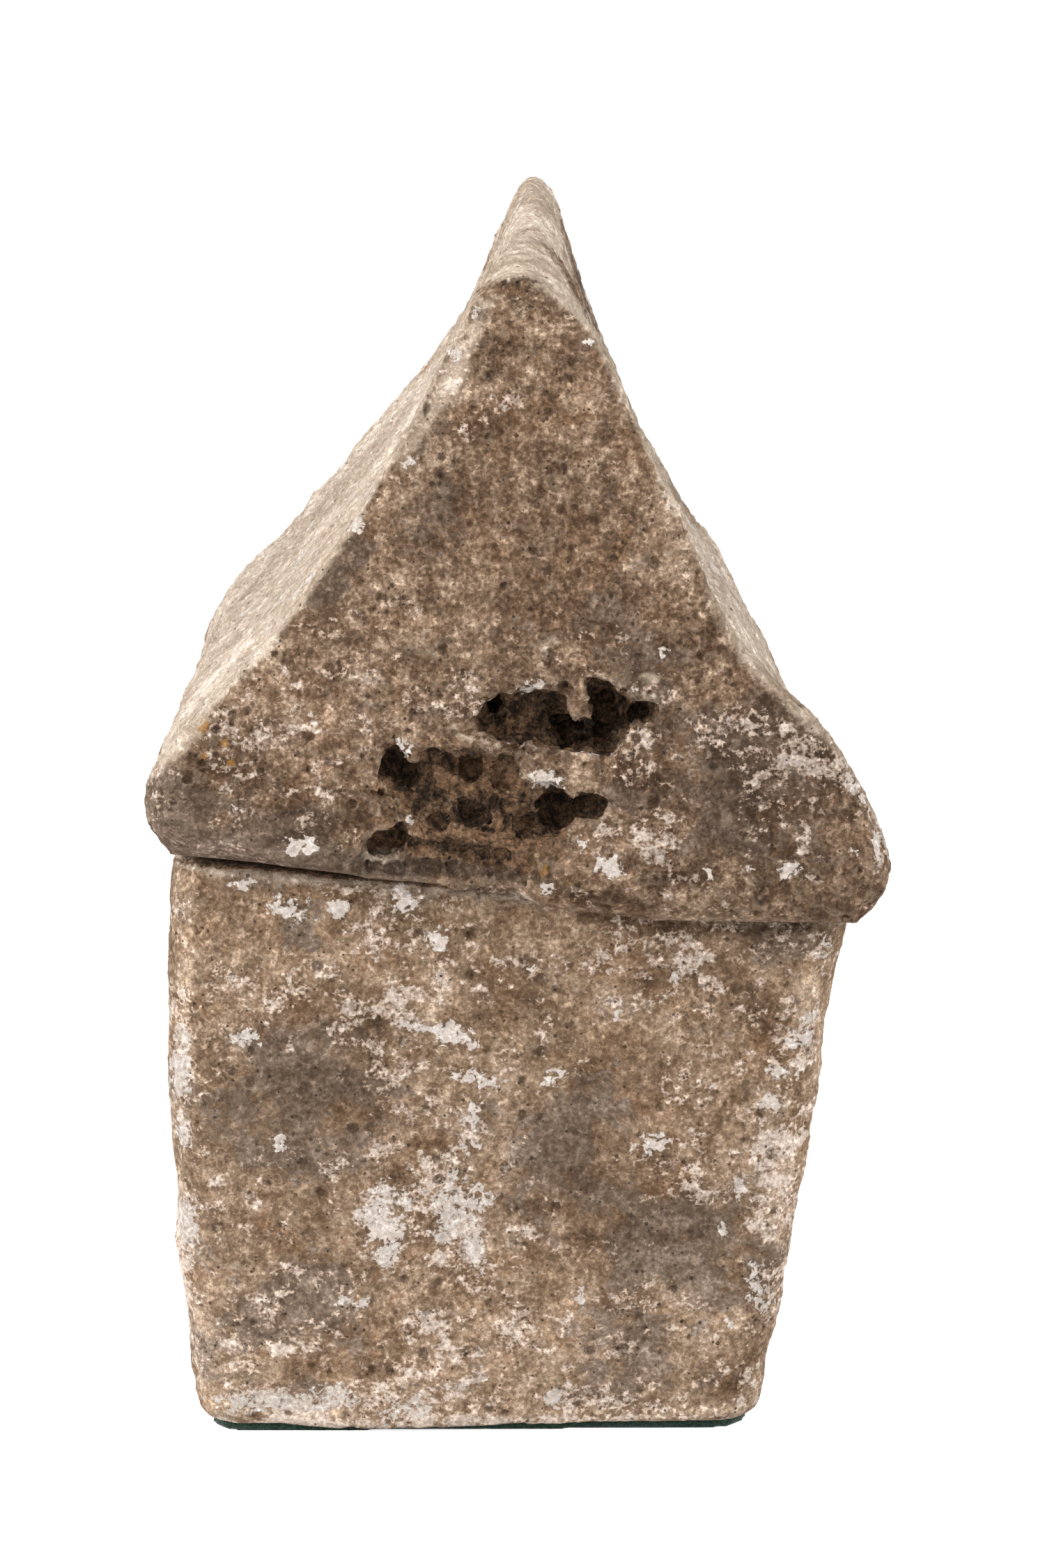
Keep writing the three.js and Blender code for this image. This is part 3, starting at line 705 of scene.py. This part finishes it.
# The lid is a second block, cut to a steep gable. Its seen end is the most weathered: rain has eaten
# a basin and a group of deep, spongy holes into it. It lies loose on the rim.
LID_VOXEL = 1.6 * MM
LID_WEAR = {
    "Dent depth": 0.7 * MM,
    "Pick depth": 1.4 * MM,
    "Pore depth": 1.3 * MM,
    "Dent span": 18 * MM,
    "Pick span": 7 * MM,
    "Pore span": 6 * MM,
    "Seed": 7.0,
}

# Small holes and notches of the lid, in the form of the chest's.
LID_HOLLOWS = [
    (708, 1015, 10, 9, 26, 0.3), (811, 986, 6, 6, 18, 0.2), (771, 992, 8, 6, 8, 0.1),
    (702, 1072, 5, 5, 8, 0.1), (768, 1081, 9, 5, 12, 0.2), (906, 1095, 7, 11, 6, 0),
    (648, 1095, 9, 6, 16, 0.2), (676, 1110, 13, 13, 22, 0.3), (707, 1104, 7, 7, 16, 0.2),
    (610, 1110, 13, 10, 14, 0.2), (641, 1130, 12, 7, 5, 0), (618, 1184, 7, 7, 12, 0.2),
    (742, 509, 5, 5, 6, 0.1), (700, 541, 5, 5, 6, 0.1), (599, 617, 4, 5, 6, 0.1),
    (728, 433, 5, 4, 6, 0.1), (400, 995, 4, 6, 6, 0.1), (1237, 1276, 5, 5, 6, 0.1),
    (1001, 1277, 6, 5, 6, 0.1), (834, 661, 5, 4, 5, 0.1), (706, 414, 13, 6, 4, 0),
    (728, 408, 12, 5, 4, 0), (746, 416, 10, 6, 4, 0), (806, 372, 7, 9, 8, 0), (817, 394, 9, 9, 9, 0),
    (829, 420, 8, 11, 8, 0), (843, 446, 7, 11, 7, 0), (855, 471, 6, 9, 6, 0),
]
# Where small holes are strewn: seed, across, down, half width, half height, count, and the
# smallest and the largest half width of a hole in pixels.
STREWN_HOLES = [
    (5, 650, 1130, 90, 45, 18, 3, 8),
    (6, 700, 1190, 90, 22, 14, 4, 11),
    (8, 745, 1034, 60, 26, 26, 4, 11),
    (9, 880, 1030, 50, 36, 22, 4, 10),
]
HOLE_SUNK = 0.15


def strewn_hollows(seed, across, down, half_width, half_height, count, smallest, largest):
    """Rows for small hollows strewn over an oval in the view, as in a spongy stone."""
    picker = np.random.default_rng(seed)
    rows = []
    for _ in range(count):
        turn, reach = picker.uniform(0, 2 * pi), picker.random() ** 0.5
        size = smallest * (largest / smallest) ** picker.random()
        place = (across + half_width * reach * cos(turn), down + half_height * reach * sin(turn))
        depth = size / PIXELS_PER_MM * picker.uniform(0.6, 1.4)
        rows.append((*place, size, size * picker.uniform(0.6, 1), depth, HOLE_SUNK))
    return rows


for strewn_row in STREWN_HOLES:
    LID_HOLLOWS += strewn_hollows(*strewn_row)

# The caves of the worn end, each as its depth in millimetres and its outline in the view.
LID_CAVES = {
    "upper_hole": (20, [
        (673, 1039), (689, 1027), (700, 1010), (714, 1004), (738, 1000), (757, 990), (778, 985),
        (796, 994), (810, 1004), (812, 1022), (822, 1034), (838, 1030), (850, 1036), (856, 1022),
        (852, 1004), (842, 994), (843, 981), (857, 973), (872, 972), (884, 986), (899, 1004), (915, 1010),
        (928, 1010), (939, 1018), (940, 1027), (932, 1035), (920, 1033), (911, 1041), (899, 1060),
        (888, 1079), (871, 1082), (851, 1075), (818, 1071), (792, 1069), (784, 1061), (762, 1062),
        (742, 1072), (722, 1064), (700, 1054), (689, 1045),
    ]),
    "upper_hole_middle": (42, [
        (793, 1032), (806, 1022), (822, 1036), (840, 1034), (848, 1046), (846, 1066), (820, 1069),
        (797, 1064),
    ]),
    "upper_hole_right": (44, [
        (852, 1006), (858, 984), (872, 982), (882, 1002), (888, 1030), (884, 1060), (872, 1076),
        (856, 1070), (850, 1040),
    ]),
    "upper_hole_tip": (28, [
        (903, 1010), (928, 1011), (939, 1022), (932, 1033), (913, 1032),
    ]),
    "basin": (13, [
        (553, 1070), (560, 1062), (567, 1068), (569, 1086), (588, 1090), (600, 1078), (630, 1072),
        (655, 1085), (680, 1080), (705, 1085), (735, 1100), (752, 1120), (770, 1130), (801, 1134),
        (829, 1143), (868, 1149), (876, 1157), (863, 1168), (843, 1167), (829, 1176), (809, 1189),
        (787, 1192), (760, 1200), (735, 1210), (700, 1212), (660, 1205), (628, 1198), (612, 1202),
        (590, 1196), (575, 1172), (566, 1150), (556, 1128), (548, 1105), (547, 1085),
    ]),
    "basin_left_hole": (24, [
        (549, 1082), (553, 1070), (561, 1066), (567, 1087), (586, 1094), (598, 1102), (592, 1118),
        (566, 1118), (553, 1105),
    ]),
    "basin_right_hole": (26, [
        (766, 1142), (790, 1134), (829, 1144), (868, 1149), (875, 1156), (862, 1168), (843, 1166),
        (829, 1175), (809, 1189), (788, 1190), (776, 1170),
    ]),
    "basin_low_hole": (15, [
        (715, 1186), (740, 1176), (773, 1176), (785, 1186), (760, 1193), (720, 1194),
    ]),
    "basin_middle_hole": (18, [
        (653, 1158), (668, 1150), (690, 1160), (707, 1176), (690, 1185), (664, 1176),
    ]),
    "lip_left_hole": (22, [
        (524, 1212), (540, 1190), (558, 1182), (577, 1184), (586, 1200), (575, 1214), (545, 1222),
        (520, 1225),
    ]),
    "worn_lip": (13, [
        (496, 1242), (522, 1222), (545, 1212), (590, 1208), (640, 1212), (690, 1216), (740, 1222),
        (772, 1240), (768, 1300), (640, 1300), (496, 1290),
    ]),
}
LID_ROUGHNESS = [
    (700, 1130, 190, 100, 5, 1.9), (470, 815, 50, 70, 30, 0.15), (1050, 1120, 170, 110, 10, 0.7),
    (400, 1200, 150, 40, 5, 0.45), (400, 1230, 190, 25, 3, 0.5),
]
# Patches on the lid's end, in the form of the chest's. Bare stone shows through the soil, the pale
# strips along the left arris are stone washed by rain with painted top light, and rust is orange
# lichen. Soil here is dirt and painted shade in the hollows, notches and cracks; tone and shade hold
# painted shade on faces that turn down or away and painted shadow in the undercut and the seam.
LID_TABLES = {
    "lime": [
        (764, 988, 19, 10, -10, 1), (577, 1074, 11, 14, 0, 1), (783, 1118, 26, 16, 10, 1),
        (433, 1217, 24, 12, -10, 1), (866, 1236, 14, 16, 30, 1), (880, 1249, 17, 14, 0, 1),
        (789, 1274, 12, 8, 0, 1), (1135, 1249, 17, 11, 0, 1), (1223, 1122, 9, 14, -30, 1),
        (1239, 1145, 5, 6, 0, 1), (955, 938, 9, 9, 0, 1), (1262, 1207, 7, 36, 5, 1),
        (510, 757, 24, 12, 10, 1), (448, 828, 14, 9, -50, 1), (654, 507, 12, 12, -45, 1),
        (683, 449, 6, 10, 20, 1), (589, 660, 6, 8, 0, 1), (845, 491, 7, 6, 0, 1),
        (1058, 866, 8, 13, 0, 1), (1002, 787, 6, 6, 0, 1), (1017, 1257, 10, 5, 50, 1),
        (1227, 1224, 16, 3, 30, 1), (337, 1160, 10, 5, 20, 0.9), (586, 1175, 8, 8, 0, 0.9),
        (1077, 1248, 5, 4, 0, 1), (911, 991, 5, 4, 0, 1), (833, 1210, 6, 12, -20, 0.9),
        (855, 1208, 18, 2, 0, 0.9), (425, 848, 30, 3, -48, 0.9), (385, 900, 26, 3, -45, 0.85),
        (735, 1068, 14, 3, 0, 0.8), (850, 1082, 30, 3, 0, 0.7),
    ],
    "crust_and_painted_light": [
        # Crust taken off the dark facet that turns away at the right is painted shade.
        (525, 1040, 80, 70, 0, 0.9), (430, 1050, 90, 60, 0, 0.55), (955, 1185, 80, 38, -10, 1.6),
        (1140, 1205, 50, 32, 0, 1.2), (1100, 1120, 40, 42, 0, 1.1), (1195, 1090, 50, 28, 0, 1.2),
        (940, 1060, 50, 30, 0, 0.8), (1050, 1015, 60, 20, -10, 0.4), (560, 990, 60, 50, 0, 0.8),
        (870, 1100, 60, 30, 20, 0.7), (1010, 1250, 60, 24, 0, 0.5), (620, 800, 120, 120, 0, -0.3),
        (760, 700, 120, 160, 0, -0.5), (870, 820, 90, 90, 0, -0.6), (600, 1180, 100, 60, 0, -0.8),
        (470, 815, 50, 80, 30, -1), (1030, 1180, 30, 60, 0, -0.9), (640, 1244, 150, 22, 3, -1.3),
        (680, 1130, 130, 70, 0, -0.8), (555, 1010, 34, 26, 0, -0.8), (1140, 1140, 50, 22, 5, -0.4),
        (1120, 1220, 28, 20, 0, -0.8), (950, 1140, 20, 46, -25, -0.7), (970, 1062, 22, 12, 0, -1.2),
        (1015, 892, 46, 56, 25, -1.4), (465, 1072, 50, 18, -10, -1), (1050, 1042, 50, 12, 5, 1.3),
        (1172, 1070, 32, 16, 30, 1.3), (960, 1178, 66, 12, 5, 1.3), (335, 1012, 44, 24, 10, 0.9),
        (700, 1078, 70, 9, 0, 0.7), (430, 990, 40, 24, 20, 0.6), (680, 560, 60, 30, 0, 0.5),
        (920, 1085, 40, 14, 10, 0.8),
    ],
    "grey": [
        (1060, 1120, 180, 120, 10, 1.0), (520, 1060, 80, 60, 0, 0.8), (470, 815, 60, 70, 30, 0.8),
        (390, 1200, 160, 50, 5, 0.9), (950, 960, 70, 50, 0, 0.7), (650, 760, 70, 70, 0, 0.3),
        (760, 600, 110, 120, 0, -0.5), (700, 1130, 170, 80, 0, -0.7), (1000, 1270, 100, 30, 0, -0.6),
        (600, 1260, 130, 25, 0, 0.7), (450, 1130, 60, 30, 0, -0.6), (400, 1226, 170, 20, 6, 1.4),
        (620, 1246, 130, 12, 4, 1.4),
    ],
    "tone": [
        # Dark rows on the lip's low faces and the ledge are painted shade where the faces turn down.
        (770, 320, 60, 90, 0, 0.05), (690, 560, 60, 26, -5, 0.5), (760, 640, 110, 90, 0, -0.25),
        (640, 760, 90, 90, 0, -0.2), (750, 870, 130, 60, 0, -0.35), (870, 900, 120, 60, 0, -0.4),
        (470, 815, 50, 70, 30, -0.4), (430, 1040, 130, 80, 0, 0.05), (309, 1050, 26, 36, 0, -0.9),
        (700, 1150, 150, 60, 5, -0.3), (650, 1238, 110, 22, 3, -0.9), (430, 1215, 120, 14, 8, -0.5),
        (1080, 1120, 170, 90, 0, -0.55), (1010, 1275, 260, 40, 0, -1.1), (1190, 1190, 70, 110, 0, -0.6),
        (690, 1060, 110, 40, 5, -0.35), (620, 1150, 90, 60, 0, -0.3), (450, 1160, 120, 30, 10, -0.35),
        (330, 1085, 60, 60, 0, -0.6), (380, 1170, 110, 34, 8, -0.4), (880, 1050, 60, 30, 20, 0.1),
        (1250, 1180, 14, 90, 5, 0.3),
    ],
    "shade": [
        # The first row is painted shade on a facet that turns away; rows near the lip's foot are painted
        # shadow in the undercut and in the seam.
        (1015, 892, 44, 54, 25, -1.5), (690, 560, 70, 34, 0, 0.5), (750, 740, 60, 70, 0, 0.15),
        (722, 412, 50, 16, 0, -0.5), (640, 990, 90, 40, 0, -0.25), (555, 1010, 30, 22, 0, -0.4),
        (1140, 1140, 50, 22, 5, -0.5), (1120, 1220, 24, 16, 20, -0.9), (465, 1072, 50, 18, -10, -0.5),
        (440, 1182, 18, 20, 0, -0.6), (540, 1162, 24, 24, 0, -0.6), (360, 1135, 34, 30, 0, -0.3),
        (950, 1140, 18, 44, -25, -0.9), (970, 1062, 20, 12, 0, -0.8), (905, 970, 60, 14, 5, -0.5),
        (1000, 1004, 40, 12, 0, -0.5), (900, 1252, 30, 20, 0, -0.6), (960, 1232, 26, 20, 0, -0.5),
        (1050, 1268, 30, 20, 0, -0.6), (1243, 1150, 12, 64, -18, -0.8), (600, 870, 50, 30, 0, -0.3),
        (560, 815, 24, 30, 0, -0.4), (645, 815, 24, 22, 0, -0.3), (850, 645, 40, 16, 0, -0.4),
        (560, 742, 24, 18, 0, -0.5), (470, 810, 14, 60, 30, -0.4), (780, 400, 30, 14, 0, -0.5),
        (1130, 1000, 20, 30, -40, -0.4), (335, 1012, 48, 26, 10, 0.6), (430, 995, 34, 18, 20, 0.35),
        (450, 960, 24, 18, 0, 0.35), (1050, 1042, 44, 10, 5, 0.8), (1172, 1072, 28, 14, 30, 0.7),
        (960, 1178, 60, 10, 5, 0.6), (845, 450, 16, 60, -25, 0.35), (700, 1080, 60, 12, 0, 0.3),
        (980, 960, 16, 12, 0, 0.3), (630, 1212, 90, 8, 2, -1.3), (400, 1226, 150, 12, 6, 0.5),
        (380, 1246, 140, 4, 3, -2.0), (1090, 1130, 150, 70, 0, -0.3), (1000, 1000, 110, 40, 0, -0.3),
        (1010, 1262, 200, 26, 0, -0.3),
    ],
    "rust": [
        (291, 1041, 10, 12, 0, 1), (323, 1066, 8, 8, 0, 1), (295, 1085, 8, 8, 0, 1),
        (330, 1096, 8, 8, 0, 1), (780, 1250, 18, 14, 0, 0.6),
    ],
    "soil_and_shade": [
        # Dirt and painted shade: the basin, the undercut line, the notch under the ridge and dark cracks.
        (660, 1135, 130, 60, 5, 0.42), (700, 1190, 110, 26, 3, 0.6), (640, 1216, 100, 10, 2, 0.8),
        (722, 412, 50, 14, 0, 0.42), (704, 450, 22, 9, 0, 0.4), (832, 425, 14, 80, -28, 0.6),
        (892, 776, 7, 34, 15, 0.7), (885, 802, 12, 7, 0, 0.8), (835, 601, 34, 6, -3, 0.6),
        (902, 622, 10, 9, 0, 0.6), (830, 656, 10, 6, 0, 0.8),
    ],
    "bare": [
        (640, 1248, 170, 14, 3, 1), (400, 1226, 190, 34, 5, 1), (833, 1012, 16, 20, 0, 0.9),
        (783, 1118, 36, 24, 0, 0.8), (680, 1118, 60, 32, 0, 0.5),
    ],
    "washed_and_lit": [
        # Pale strips along the left arris: washed stone with painted top light.
        (634, 564, 88, 13, -60.6, 1), (690, 452, 30, 8, -66, 1),
    ],
}
LID_STREWN = {
    "lime": [(70, 3, 13, 1.0)],
    "crust_and_painted_light": [(30, 15, 50, 0.9), (24, 20, 50, -0.8)],
    "grey": [(26, 20, 60, 1.0), (16, 20, 50, -0.8)],
    "tone": [(24, 15, 60, -0.5), (24, 15, 60, 0.4)],
    "rust": [(5, 4, 8, 1.0)],
}
LID_SEED = 12

# The hollowed middle of the worn end, as seen, and how the face round it is carried over it: up to
# which share of its size the face is fitted and levelled, and how much the fit may stand off.
WORN_MIDDLE = (730, 1090)
WORN_HALF_SIZES = (250, 165)
WORN_FRONT = -150 * MM
WORN_HEIGHT = 320 * MM
FIT_REACH = 1.25
FIT_PASSES = 12
FIT_SLACK = 0.6 * MM
FIT_SPAN = 100 * MM
LEVEL_REACH = 1.12
LEVEL_FADE = 0.12
LEVEL_SUNK = 0.5 * MM


def level_worn_end(mesh):
    """Levels the hollows of the worn end, so that their caves can be cut with crisp rims."""
    places = vertex_values(mesh, "co")
    across, down = seen_pixels(places)
    front = places[:, 1] < WORN_FRONT
    outside = np.hypot(
        (across - WORN_MIDDLE[0]) / WORN_HALF_SIZES[0],
        (down - WORN_MIDDLE[1]) / WORN_HALF_SIZES[1],
    )
    fitted = front & (outside < FIT_REACH)
    x, z = places[:, 0] / FIT_SPAN, (places[:, 2] - WORN_HEIGHT) / FIT_SPAN
    terms = np.stack([np.ones_like(x), x, z, x * x, x * z, z * z], axis=1)
    for _ in range(FIT_PASSES):
        face = terms @ np.linalg.lstsq(terms[fitted], places[fitted, 1], rcond=None)[0]
        fitted = front & (outside < FIT_REACH) & (places[:, 1] < face + FIT_SLACK)
    sunk = places[:, 1] - face - LEVEL_SUNK
    share = np.clip((LEVEL_REACH - outside) / LEVEL_FADE, 0, 1) * front
    places[:, 1] -= np.clip(sunk, 0, None) * share
    mesh.vertices.foreach_set("co", places.ravel())
    mesh.update()


# The lid's lip sags over this stretch of the view, and left of it its lower edge is bevelled, up
# to these heights over the bed. The bed slopes down to the right.
LIP_SAG = 10 * MM
SAG_FROM, SAG_FROM_FADE = 735, 40
SAG_TO, SAG_TO_FADE = 1240, 300
SAG_FRONT, SAG_FRONT_FADE = -184 * MM, 5 * MM
SAG_FADE = 30 * MM
BED_HEIGHT = 262 * MM
BED_SLOPE = 0.094
LIP_BEVEL = 13 * MM
BEVEL_ACROSS = (280, 340, 410, 500, 560)
BEVEL_HEIGHTS = (24 * MM, 20 * MM, 8 * MM, 6 * MM, 0)
BEVEL_FRONT, BEVEL_FRONT_FADE = -150 * MM, 30 * MM


def lip_shape(places):
    """Lets the lip hang lower right of the worn basin, and bevels it left of the basin."""
    across = seen_pixels(places)[0]
    above_bed = places[:, 2] - (BED_HEIGHT - BED_SLOPE * places[:, 0])
    share = np.clip((across - SAG_FROM) / SAG_FROM_FADE, 0, 1)
    share *= np.clip((SAG_TO - across) / SAG_TO_FADE, 0, 1)
    share *= np.clip((SAG_FRONT - places[:, 1]) / SAG_FRONT_FADE, 0, 1)
    share *= np.clip(1 - above_bed / SAG_FADE, 0, 1)
    shaped = places.copy()
    shaped[:, 2] -= LIP_SAG * share
    height = np.interp(across, BEVEL_ACROSS, BEVEL_HEIGHTS)
    bevel = np.clip(1 - above_bed / np.maximum(height, 0.1 * MM), 0, 1) * (height > 0)
    bevel *= np.clip((BEVEL_FRONT - places[:, 1]) / BEVEL_FRONT_FADE, 0, 1)
    shaped[:, 1] += LIP_BEVEL * bevel
    return shaped


LID_COLOURS = {
    "brown": "#745A45",
    "beige": "#A1866D",
    "ochre": "#8F6B4E",
    "patina": "#715E4F",
    "washed_and_lit_pale": "#E6D2BD",
}
LID_WEAR["Stone"] = limestone("lid_limestone", LID_COLOURS, contrast=1.35, crust_from=0.6)
lid = merged_copy("lid", "lid_stone")
level_worn_end(lid.data)
lid_surface = surface_of(lid)
weathered(
    lid,
    lid_surface,
    LID_HOLLOWS,
    caves=LID_CAVES.values(),
    voxel=LID_VOXEL,
    rough_patches=LID_ROUGHNESS,
    calm_beds={"above": 0, "below": 1},
    reshaped=lip_shape,
    wear=LID_WEAR,
)
stained_and_shaded(lid, lid_surface, LID_SEED, SEEN_FRONT, LID_TABLES, LID_STREWN)
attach(lid, "lid")
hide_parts("lid")

# A sheet of dark green wool felt, cut with scissors to the base and glued under it to save the
# shelf. Only its furry cut edge shows.
FELT_VOXEL = 1.6 * MM
# Waves of the cut edge, as their number to a metre and how far they go in.
FELT_WAVES = [(60, 0.5 * MM), (300, 0.3 * MM)]
FELT_TRIM = 0.8 * MM

felt = merged_copy("base_felt", "base_felt_sheet")
felt_mesh = skinned(felt, FELT_VOXEL)
felt_places = vertex_values(felt_mesh, "co")
sideways = vertex_values(felt_mesh, "normal") * np.array((1, 1, 0))
wander = np.full(len(felt_places), FELT_TRIM)
for waves, reach in FELT_WAVES:
    wander += reach * np.array([noise.noise(Vector(place) * waves) for place in felt_places])
felt_mesh.vertices.foreach_set("co", (felt_places - sideways * wander[:, None]).ravel())
felt_mesh.shade_smooth()

# Wool felt: matt, with a soft sheen. The eye sees short fibres in two dark greens.
felt_wool = bpy.data.materials.new("wool_felt")
felt_wool.use_nodes = True
wool = felt_wool.node_tree
wool_shader = wool.nodes["Principled BSDF"]
wool_place = add(wool, "ShaderNodeTexCoord", output="Object")
fibre = add(wool, "ShaderNodeTexNoise", {"Vector": wool_place, "Scale": 1 / (1.2 * MM), "Detail": 4.0})
shades = add(wool, "ShaderNodeMapRange", {"Value": fibre, "From Min": 0.35, "From Max": 0.65})
greens = {0: shades, 6: linear("#12241B"), 7: linear("#2F4A3C")}
wool.links.new(add(wool, "ShaderNodeMix", greens, 2, data_type="RGBA"), wool_shader.inputs["Base Color"])
wool_shader.inputs["Roughness"].default_value = 1.0
wool_shader.inputs["Sheen Weight"].default_value = 0.4
wool_shader.inputs["Specular IOR Level"].default_value = 0.1
nap = add(wool, "ShaderNodeBump", {"Height": fibre, "Distance": 0.6 * MM})
wool.links.new(nap, wool_shader.inputs["Normal"])
felt_mesh.materials.append(felt_wool)
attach(felt, "chest")
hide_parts("base_felt")

# A white table top and white air round it. Broad soft lamps stand left and right of the view, one
# stands behind the camera and one hangs above.
TABLE_CORNERS = [(-9, -5, 0), (9, -5, 0), (9, 16, 0), (-9, 16, 0)]
TABLE_GLOW = 0.72
AIR_UNSEEN = 0.42
AIR_SEEN = 1.0
# Each lamp as its name, its place and size in metres, and its watts.
LAMPS = [
    ("left_lamp", (-1.5, -0.9, 1.1), 1.1, 25.5),
    ("right_lamp", (1.5, -0.8, 0.9), 1.1, 18),
    ("top_lamp", (-0.3, -0.1, 1.9), 1.2, 13),
    ("front_lamp", (-0.4, -2.4, 1.3), 1.0, 12),
]
LAMPS_AIM = Vector((0, 0, 0.28))


def seen_by_camera(tree):
    """1 where a ray comes from the camera, straight or by a mirror or glass, and 0 elsewhere."""
    camera_ray = add(tree, "ShaderNodeLightPath", output="Is Camera Ray")
    rays = camera_ray.node.outputs
    seen = {0: camera_ray, 1: rays["Is Glossy Ray"]}
    seen = {0: add(tree, "ShaderNodeMath", seen, operation="MAXIMUM"), 1: rays["Is Transmission Ray"]}
    return add(tree, "ShaderNodeMath", seen, operation="MAXIMUM")


floor_mesh = bpy.data.meshes.new("floor")
floor_mesh.from_pydata(TABLE_CORNERS, [], [(0, 1, 2, 3)])
floor = bpy.data.objects.new("floor", floor_mesh)
bpy.context.scene.collection.objects.link(floor)
table_white = bpy.data.materials.new("white_table")
table_white.use_nodes = True
table = table_white.node_tree
table_shader = table.nodes["Principled BSDF"]
table_shader.inputs["Base Color"].default_value = linear("#E8E8E8")
table_shader.inputs["Roughness"].default_value = 1.0
table_shader.inputs["Specular IOR Level"].default_value = 0.0
table_shader.inputs["Emission Color"].default_value = (1, 1, 1, 1)
glow = weighed(table, (seen_by_camera(table), TABLE_GLOW))
table.links.new(glow, table_shader.inputs["Emission Strength"])
floor_mesh.materials.append(table_white)

world = bpy.data.worlds.new("studio")
world.use_nodes = True
air = world.node_tree
air_levels = {"Value": seen_by_camera(air), "To Min": AIR_UNSEEN, "To Max": AIR_SEEN}
background = air.nodes["Background"]
background.inputs["Color"].default_value = (1, 1, 1, 1)
air.links.new(add(air, "ShaderNodeMapRange", air_levels), background.inputs["Strength"])
bpy.context.scene.world = world

for lamp_name, lamp_place, lamp_size, lamp_watts in LAMPS:
    lamp = bpy.data.lights.new(lamp_name, "AREA")
    lamp.energy = lamp_watts
    lamp.size = lamp_size
    lamp_object = bpy.data.objects.new(lamp_name, lamp)
    lamp_object.location = lamp_place
    aim = LAMPS_AIM - Vector(lamp_place)
    lamp_object.rotation_euler = aim.to_track_quat("-Z", "Y").to_euler()
    bpy.context.scene.collection.objects.link(lamp_object)
bpy.context.scene.view_settings.view_transform = "Standard"
